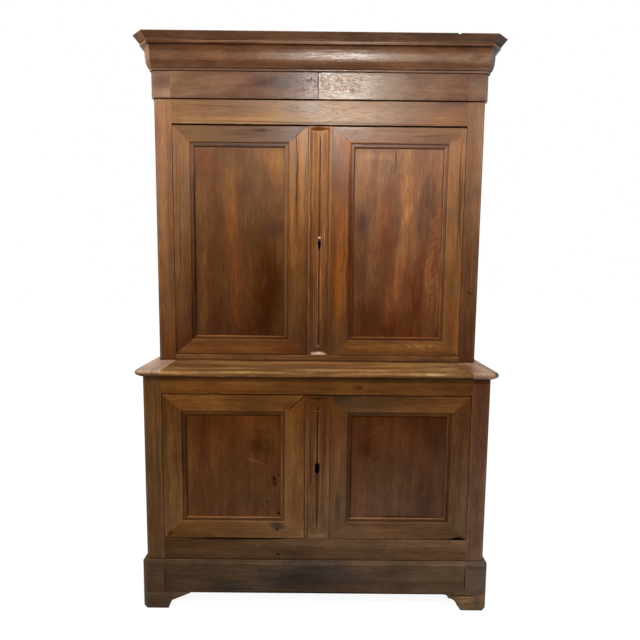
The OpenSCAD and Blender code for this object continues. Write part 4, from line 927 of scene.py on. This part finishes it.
def bite(outline, y, deep, narrow=1.0):
    """A cut straight in from the front, with an outline of (px, py)."""
    ring = [seen_at(px, py, y) for px, py in outline]
    middle = sum(ring, Vector()) / len(ring)
    bm = bmesh.new()
    near = [bm.verts.new((p.x, y - BITE_AHEAD, p.z)) for p in ring]
    far = [bm.verts.new((m.x, y + deep, m.z)) for m in (middle + (p - middle) * narrow for p in ring)]
    bm.faces.new(near)
    bm.faces.new(far[::-1])
    for i in range(len(ring)):
        j = (i + 1) % len(ring)
        bm.faces.new((near[j], near[i], far[i], far[j]))
    return closed(bm)


def hole(px, py, radius, y):
    """A small round hole that narrows inwards."""
    turns = [math.tau * i / HOLE_SIDES for i in range(HOLE_SIDES)]
    ring = [(px + radius * math.cos(t), py + radius * math.sin(t)) for t in turns]
    return bite(ring, y, SCRATCH, HOLE_END)


def make_cuts():
    """The cuts in each board; a cut is used up by the board that it is made for."""
    cuts = {
        "cornice_front": [bite(CORNICE_CHIP, CHIP_Y, CHIP_DEEP)],
        "upper_posts": [hole(*TOP_POST_HOLE, UP_Y)],
        "upper_left_stiles": [groove(LEFT_CRACK, UP_Y)],
        "upper_right_stiles": [groove(RIGHT_CRACK, UP_Y)],
        "upper_right_panel": [groove(PANEL_CRACK, UP_Y + PANEL_IN)],
        "upper_right_rails": [groove(RAIL_CRACK, UP_Y)],
        "base_left_panel": [hole(*spot, LOW_Y + PANEL_IN) for spot in PANEL_HOLES],
        "base_posts": [hole(*BASE_POST_HOLE, LOW_Y)],
        "base_strip": [groove(STRIP_CRACK, LOW_Y - 0.001), bite(KEYHOLE, LOW_Y, KEYHOLE_DEEP),
                       *(hole(*spot, LOW_Y) for spot in STRIP_HOLES)],
    }
    for part in ("stiles", "rails"):
        cuts["base_left_" + part] = [groove(MITRE_GAP, LOW_Y, GAP)]
        cuts["base_right_" + part] = [bite(BROKEN_EDGE, LOW_Y, EDGE_DEEP)]
    return cuts


# Hues of single boards: what a board of that hue gives back of red, green and blue. The greys also paint
# the sheen of reflected light
HUE = {
    "even": (1.0, 1.0, 1.0), "fawn": (0.92, 1.0, 0.95), "straw": (0.94, 1.0, 0.80),
    "wheat": (1.01, 1.0, 0.88), "olive": (0.94, 1.0, 0.47), "honey": (1.05, 1.0, 0.62),
    "gold": (1.04, 1.0, 0.38), "amber": (1.17, 1.0, 0.66), "rust": (1.42, 1.0, 0.28),
    "chestnut": (1.42, 1.0, 0.68), "wine": (2.2, 1.0, 0.83),
    "rose": (1.14, 1.0, 1.05), "mauve": (1.05, 1.0, 1.48), "sage": (0.82, 1.0, 1.0),
    "pearl": (0.92, 1.0, 1.08), "ash": (0.86, 1.0, 1.30), "steel": (0.77, 1.0, 1.55),
    "grey": (0.75, 1.0, 1.82), "smoke": (0.68, 1.0, 2.2), "slate": (0.60, 1.0, 2.8),
}


def fade(low, low_light, high=None, high_light=None):
    """The colours that a board is multiplied by at its low and at its high end: its own hue together with
    painted light and sheen.
    """
    ends = (low, low_light), (high or low, high_light or low_light)
    return [Vector(HUE[hue]) * light for hue, light in ends]


# Each board's hue and lightness at its low and its high end, or one pair for both, in the
# order of its node's boards from left to right. They weren't chosen by eye: most follow a
# fit of the render's average colours to the photo's
# Many of these paint light as well as the boards' tone: the grey hues stand for the sheen of reflected
# light, and the lightness that changes from end to end for light that is stronger higher up or on one
# side
EVEN = [("even", 1.0)]
PLINTH_SIDES = [("wheat", 0.93), ("ash", 1.85)]
FRIEZE_SIDES = [("ash", 1.95), ("ash", 1.13)]
TONES_AND_LIGHT = {
    "upper_posts": [("wheat", 0.46, "ash", 1.58)] * 2 + [("rose", 0.34, "ash", 1.32)] * 2,
    "upper_top_rail": [("sage", 1.27, "honey", 0.83)],
    "upper_bottom_rail": [("pearl", 0.92, "ash", 0.87)],
    "upper_left_stiles": [("chestnut", 0.15, "fawn", 1.33), ("mauve", 0.38, "gold", 1.33)],
    "upper_left_rails": [("fawn", 0.85, "chestnut", 0.29), ("olive", 0.60, "chestnut", 0.34)],
    "upper_left_panel": [("pearl", 0.53, "straw", 0.98)],
    "upper_right_stiles": [("pearl", 0.40, "rust", 0.80), ("wheat", 0.74, "pearl", 1.16)],
    "upper_right_rails": [("wheat", 0.65, "wheat", 0.60), ("rust", 0.68, "fawn", 0.94)],
    "upper_right_panel": [("rose", 0.50, "steel", 1.92)],
    "upper_strip": [("mauve", 0.39, "straw", 1.30)],
    "upper_frame_rails": [("wheat", 0.90)],
    "upper_side_panels": [("fawn", 1.04), ("wheat", 0.79)],
    "base_posts": [("grey", 1.06, "ash", 0.77)] * 2 + [("slate", 1.71, "mauve", 0.71)] * 2,
    "base_top_rail": [("wheat", 0.83, "even", 0.82)],
    "base_bottom_rail": [("steel", 0.63, "smoke", 1.50)],
    "base_left_stiles": [("steel", 1.76, "amber", 0.45), ("steel", 1.76, "amber", 0.75)],
    "base_left_rails": [("straw", 0.96, "grey", 1.97), ("wheat", 1.03, "even", 1.08)],
    "base_left_panel": [("steel", 1.30, "amber", 0.81)],
    "base_right_stiles": [("smoke", 1.54, "amber", 0.65), ("smoke", 1.11, "rose", 0.59)],
    "base_right_rails": [("smoke", 1.64, "grey", 1.14), ("grey", 0.68, "even", 1.16)],
    "base_right_panel": [("smoke", 1.70, "amber", 0.59)],
    "base_strip": [("grey", 1.86, "amber", 0.60)],
    "base_frame_rails": [("steel", 1.05)],
    "base_side_panels": [("ash", 0.92), ("grey", 1.20)],
    "countertop": [("even", 1.33, "pearl", 0.80)],
    "countertop_ends": [("steel", 3.2), ("steel", 2.6)],
    "plinth_front": [("wheat", 0.81, "even", 1.35)],
    "plinth_corners": PLINTH_SIDES, "plinth_sides": PLINTH_SIDES, "rear_feet": PLINTH_SIDES,
    "front_feet": [("even", 1.48)] * 2 + [("fawn", 2.85)] * 2,
    "frieze_front": [("pearl", 1.37, "wine", 0.19), ("sage", 1.44, "rose", 0.76)],
    "frieze_corners": FRIEZE_SIDES, "frieze_sides": FRIEZE_SIDES,
    "cornice_front": [("even", 1.03, "ash", 1.42)],
    "cornice_corners": [("fawn", 2.85), ("grey", 1.2)],
    "cornice_sides": [("fawn", 2.5), ("grey", 1.6)],
}


# Boards

# What counts as one vertex, as flat and as an end, when a solid becomes a board
MERGE, FLAT, TOUCH, END_FACING = 0.00001, math.radians(0.4), 0.0001, 0.8

# A plain board's straight stripes: how far aside their middle lies, how much they lean and
# how deep it lies; an arched figure's middle lies ARCH_DEEP below the face
STRIPE_ASIDE, STRIPE_LEAN, STRIPE_DEEP, ARCH_DEEP = 0.35, 0.03, (0.05, 0.3), 0.02
GRAIN_SHIFT = 9


def islands(bm):
    """The separate boards of a node with their low and high corners, from left to right."""
    left = set(bm.verts)
    found = []
    while left:
        start = left.pop()
        group, edge = [start], [start]
        while edge:
            v = edge.pop()
            for e in v.link_edges:
                w = e.other_vert(v)
                if w in left:
                    left.remove(w)
                    group.append(w)
                    edge.append(w)
        low, high = (Vector(tuple(end(v.co[i] for v in group) for i in range(3))) for end in (min, max))
        found.append((group, low, high))
    return sorted(found, key=lambda b: (round((b[1].x + b[2].x) / 2, 3), round(b[1].z + b[2].z, 3),
                                        round(b[1].y + b[2].y, 3)))


def cleaned(node):
    """A node's solid as a bmesh with whole faces in place of its triangles."""
    bm = bmesh.new()
    bm.from_mesh(frame["nodes"][node].data)
    bmesh.ops.remove_doubles(bm, verts=bm.verts, dist=MERGE)
    bmesh.ops.dissolve_limit(bm, angle_limit=FLAT, verts=bm.verts, edges=bm.edges)
    return bm


def softened(node, arris, trim):
    """A node's solid with rounded arrises, which its layer "arris" tells from the faces."""
    bm = cleaned(node)
    low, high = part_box(node)
    for v in bm.verts:
        if v.co.z < low.z + TOUCH:
            v.co.z += trim[0]
        elif v.co.z > high.z - TOUCH:
            v.co.z += trim[1]
    flags = bm.faces.layers.float.new("arris")
    sharp = [e for e in bm.edges if e.is_manifold and e.calc_face_angle(0) > SHARP]
    made = bmesh.ops.bevel(bm, geom=sharp, offset=arris, segments=2, profile=0.5,
                           affect="EDGES", clamp_overlap=True)
    for face in made["faces"]:
        face[flags] = 1.0
    return bm


def carved(bm, cuts):
    """Takes closed solids out of a board."""
    block = link_mesh("block", bm)
    tools = [link_mesh("cut", cut) for cut in cuts]
    for tool in tools:
        change = block.modifiers.new("cut", "BOOLEAN")
        change.operation = "DIFFERENCE"
        change.solver = "EXACT"
        change.object = tool
    result = bmesh.new()
    result.from_object(block, bpy.context.evaluated_depsgraph_get())
    for obj in (block, *tools):
        bpy.data.objects.remove(obj)
    return result


def bead(bm, low, high, x, y, half, proud, wear_and_highlight):
    """Adds a half-round bead that runs upwards on the plane at depth y."""
    old = set(bm.faces)
    root = 0.001
    turns = [math.pi * i / BEAD_SIDES for i in range(BEAD_SIDES + 1)]
    section = [(x + half * math.cos(t), y + root - (proud + root) * math.sin(t)) for t in turns]
    below, above = ([bm.verts.new((px, py, z)) for px, py in section] for z in (low, high))
    for i in range(BEAD_SIDES):
        bm.faces.new((below[i], below[i + 1], above[i + 1], above[i]))
    bm.faces.new((below[-1], below[0], above[0], above[-1]))
    bm.faces.new(below[::-1])
    bm.faces.new(above)
    flags = bm.faces.layers.float.get("arris")
    for face in set(bm.faces) - old:
        face[flags] = wear_and_highlight
    closed(bm)


def lay_grain(bm, node, grain_axis, arch):
    """Writes each board's grain, year rings, tone with its painted light, and cut ends into the mesh.

    arch is how far the middle of the figure lies from a board's middle, and how steeply
    the rings cross its length; (0, 0) gives straight stripes.
    """
    ends = bm.faces.layers.float.new("end_grain")
    grain, rings, tone_and_light = (bm.verts.layers.float_vector.new(name) for name in ("grain", "rings", "tone_and_light"))
    chance = random.Random(node)
    tones_and_light = TONES_AND_LIGHT.get(node, EVEN)
    side, slope = arch
    for number, (group, low, high) in enumerate(islands(bm)):
        size, middle = high - low, (low + high) / 2
        axis = "xyz".index(grain_axis) if grain_axis else max(range(3), key=lambda i: size[i])
        thin, wide = sorted((i for i in range(3) if i != axis), key=lambda i: size[i])
        offset = Vector([chance.uniform(-GRAIN_SHIFT, GRAIN_SHIFT) for _ in range(3)])
        aside, lean, deep = side, slope, ARCH_DEEP
        if not slope:
            aside, lean = STRIPE_ASIDE, chance.uniform(-STRIPE_LEAN, STRIPE_LEAN)
            deep = chance.uniform(*STRIPE_DEEP)
        start, stop = fade(*tones_and_light[number % len(tones_and_light)])
        for v in group:
            along, across, depth = (v.co[i] - middle[i] for i in (axis, wide, thin))
            v[grain] = Vector((along, across, depth)) + offset
            v[rings] = Vector((across - aside, lean * along + deep + depth, 0))
            v[tone_and_light] = start.lerp(stop, along / size[axis] + 0.5)
            for face in v.link_faces:
                if abs(face.normal[axis]) > END_FACING:
                    face[ends] = 1.0


def body_of_node(node):
    for body, nodes in frame["record"]["behaviour"]["bodies"].items():
        if node in nodes:
            return body
    raise KeyError(node)


def board(node, kind, y=0.0, grain_axis=None, arch=(0.0, 0.0), arris=ARRIS, sunk=None,
          trim=(0.0, 0.0), beads=(), flat=None):
    """Dresses a node in walnut, with what CUTS, TONES_AND_LIGHT and MARKS hold for it.

    y is the depth of the face that carries the marks, or flat its height. sunk is the
    depth at which a moulding starts. trim moves the lowest and the highest faces.
    """
    bm = softened(node, arris, trim)
    if node in CUTS:
        bm = carved(bm, CUTS[node])
    for run in beads:
        bead(bm, *run)
    lay_grain(bm, node, grain_axis, arch)
    for face in bm.faces:
        face.smooth = True
    piece = link_mesh(node + "_board", bm)
    weigh = piece.modifiers.new("weighted", "WEIGHTED_NORMAL")
    weigh.keep_sharp = True
    piece.data.materials.append(walnut(node + "_walnut", kind, MARKS.get(node, ()), y, sunk, flat))
    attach(piece, body_of_node(node))
    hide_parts(node)


def ridges(y, low, high, key_low, key_high, wear_and_highlight):
    """The beads on both sides of a strip's groove, stopped at the keyhole, and at its edges."""
    middle, groove_side, edge, past = 0.004, 0.0062, 0.0215, 0.016
    inner, outer = (0.0026, 0.0014), (0.0020, 0.0016)
    runs = []
    for side in (-1, 1):
        for z0, z1 in ((low, key_low), (key_high, high)):
            runs.append((z0, z1, middle + side * groove_side, y, *inner, wear_and_highlight))
        runs.append((low - past, high + past, middle + side * edge, y + 0.001, *outer, wear_and_highlight))
    return runs


def metal(node, material):
    """A metal node: its own mesh with a worn material."""
    obj = frame["nodes"][node]
    obj.data.materials.clear()
    obj.data.materials.append(material)


frame["slots"] = {row["node"]: row["material_slot"] for row in frame["record"]["subparts"]}
CUTS = make_cuts()
make_camera()
make_floor()
make_sky()
for name, details in LAMPS.items():
    area_light(name, *details)

# Where the doors' mouldings start, the gaps over the doors and the open joint under the frieze
SUNK = 0.0006
UPPER_GAP, BASE_GAP, FRIEZE_GAP = (0, -0.0035), (0, -0.001), (0.003, 0)

# The middle and slope of each panel's figure
ARCHES = {"upper_left": (0.10, 0.12), "upper_right": (-0.02, 0.2),
          "base_left": (0.02, 0.25), "base_right": (-0.02, 0.22)}

# The upper cabinet
for part in ("posts", "bottom_rail", "frame_rails", "top_rail"):
    board("upper_" + part, "frame", UP_Y, arris=CASE_ARRIS)
board("upper_side_panels", "panel")
for door in ("upper_left", "upper_right"):
    for part in ("stiles", "rails"):
        board(f"{door}_{part}", "frame", UP_Y, sunk=UP_Y + SUNK, trim=UPPER_GAP)
    board(door + "_panel", "panel", UP_Y + PANEL_IN, arch=ARCHES[door])
# The beads get the lightening of wear and painted highlight, fully on the upper strip and a quarter on
# the base strip
board("upper_strip", "strip", UP_Y, trim=UPPER_GAP,
      beads=ridges(UP_Y, low=1.062, high=1.922, key_low=1.452, key_high=1.527, wear_and_highlight=1.0))
for part in ("floor", "ceiling", "shelves", "bearers", "back_boards"):
    board("upper_" + part, "inside")

# The base cabinet
for part in ("posts", "top_rail", "bottom_rail", "frame_rails"):
    board("base_" + part, "base", LOW_Y, arris=CASE_ARRIS)
board("base_side_panels", "base_panel")
for door in ("base_left", "base_right"):
    for part in ("stiles", "rails"):
        board(f"{door}_{part}", "base", LOW_Y, sunk=LOW_Y + SUNK, trim=BASE_GAP)
    board(door + "_panel", "base_panel", LOW_Y + PANEL_IN, "z", ARCHES[door])
board("base_strip", "base_strip", LOW_Y, trim=BASE_GAP,
      beads=ridges(LOW_Y, low=0.342, high=0.844, key_low=0.554, key_high=0.606, wear_and_highlight=0.25))
for part in ("floor", "shelf", "bearers", "back_boards"):
    board("base_" + part, "inside")

# The board top, the plinth, the frieze and the cornice
board("countertop", "top", NOSE_Y, flat=TOP_Z)
board("countertop_ends", "top_end", NOSE_Y, flat=TOP_Z)
board("plinth_front", "plinth", PLINTH_Y)
board("plinth_corners", "plinth", PLINTH_Y, "x")
board("plinth_sides", "plinth")
board("front_feet", "plinth", PLINTH_Y, "x")
board("rear_feet", "plinth")
board("frieze_front", "cornice", FRIEZE_Y, trim=FRIEZE_GAP)
board("frieze_corners", "cornice", FRIEZE_Y, "x", trim=FRIEZE_GAP)
board("frieze_sides", "cornice", trim=FRIEZE_GAP)
for part in ("front", "corners", "sides"):
    board("cornice_" + part, "cornice", CORNICE_Y)
board("crown_boards", "inside")
board("door_stops", "inside")

# Metal: each keyhole's lining has another colour between given heights: a grey band of its own, and on
# the upper one a painted highlight where its domed pin is
METALS = {"iron": metal_skin("dark_iron", (40, 36, 33), rust=0.35, rough=0.5),
          "brass": metal_skin("dull_brass", (122, 98, 58), rust=0.2, rough=0.4)}
UPPER_GLINTS = [(1.4595, 1.4765, (104, 88, 82)), (1.5040, 1.5150, (226, 200, 180))]
BASE_GLINTS = [(0.5580, 0.5700, (92, 80, 76))]
for node, slot in frame["slots"].items():
    if slot in METALS:
        metal(node, METALS[slot])
# The lock bolts get the near-black painted shade of the keyholes
BLACK = keyhole_shade()
for cabinet in ("upper", "base"):
    metal(cabinet + "_lock_bolt", BLACK)
metal("upper_key_fittings", metal_skin("upper_keyhole", (14, 12, 11), glints=UPPER_GLINTS))
metal("base_key_fittings", metal_skin("base_keyhole", (12, 10, 10), glints=BASE_GLINTS))

bpy.context.scene.view_settings.view_transform = "Standard"
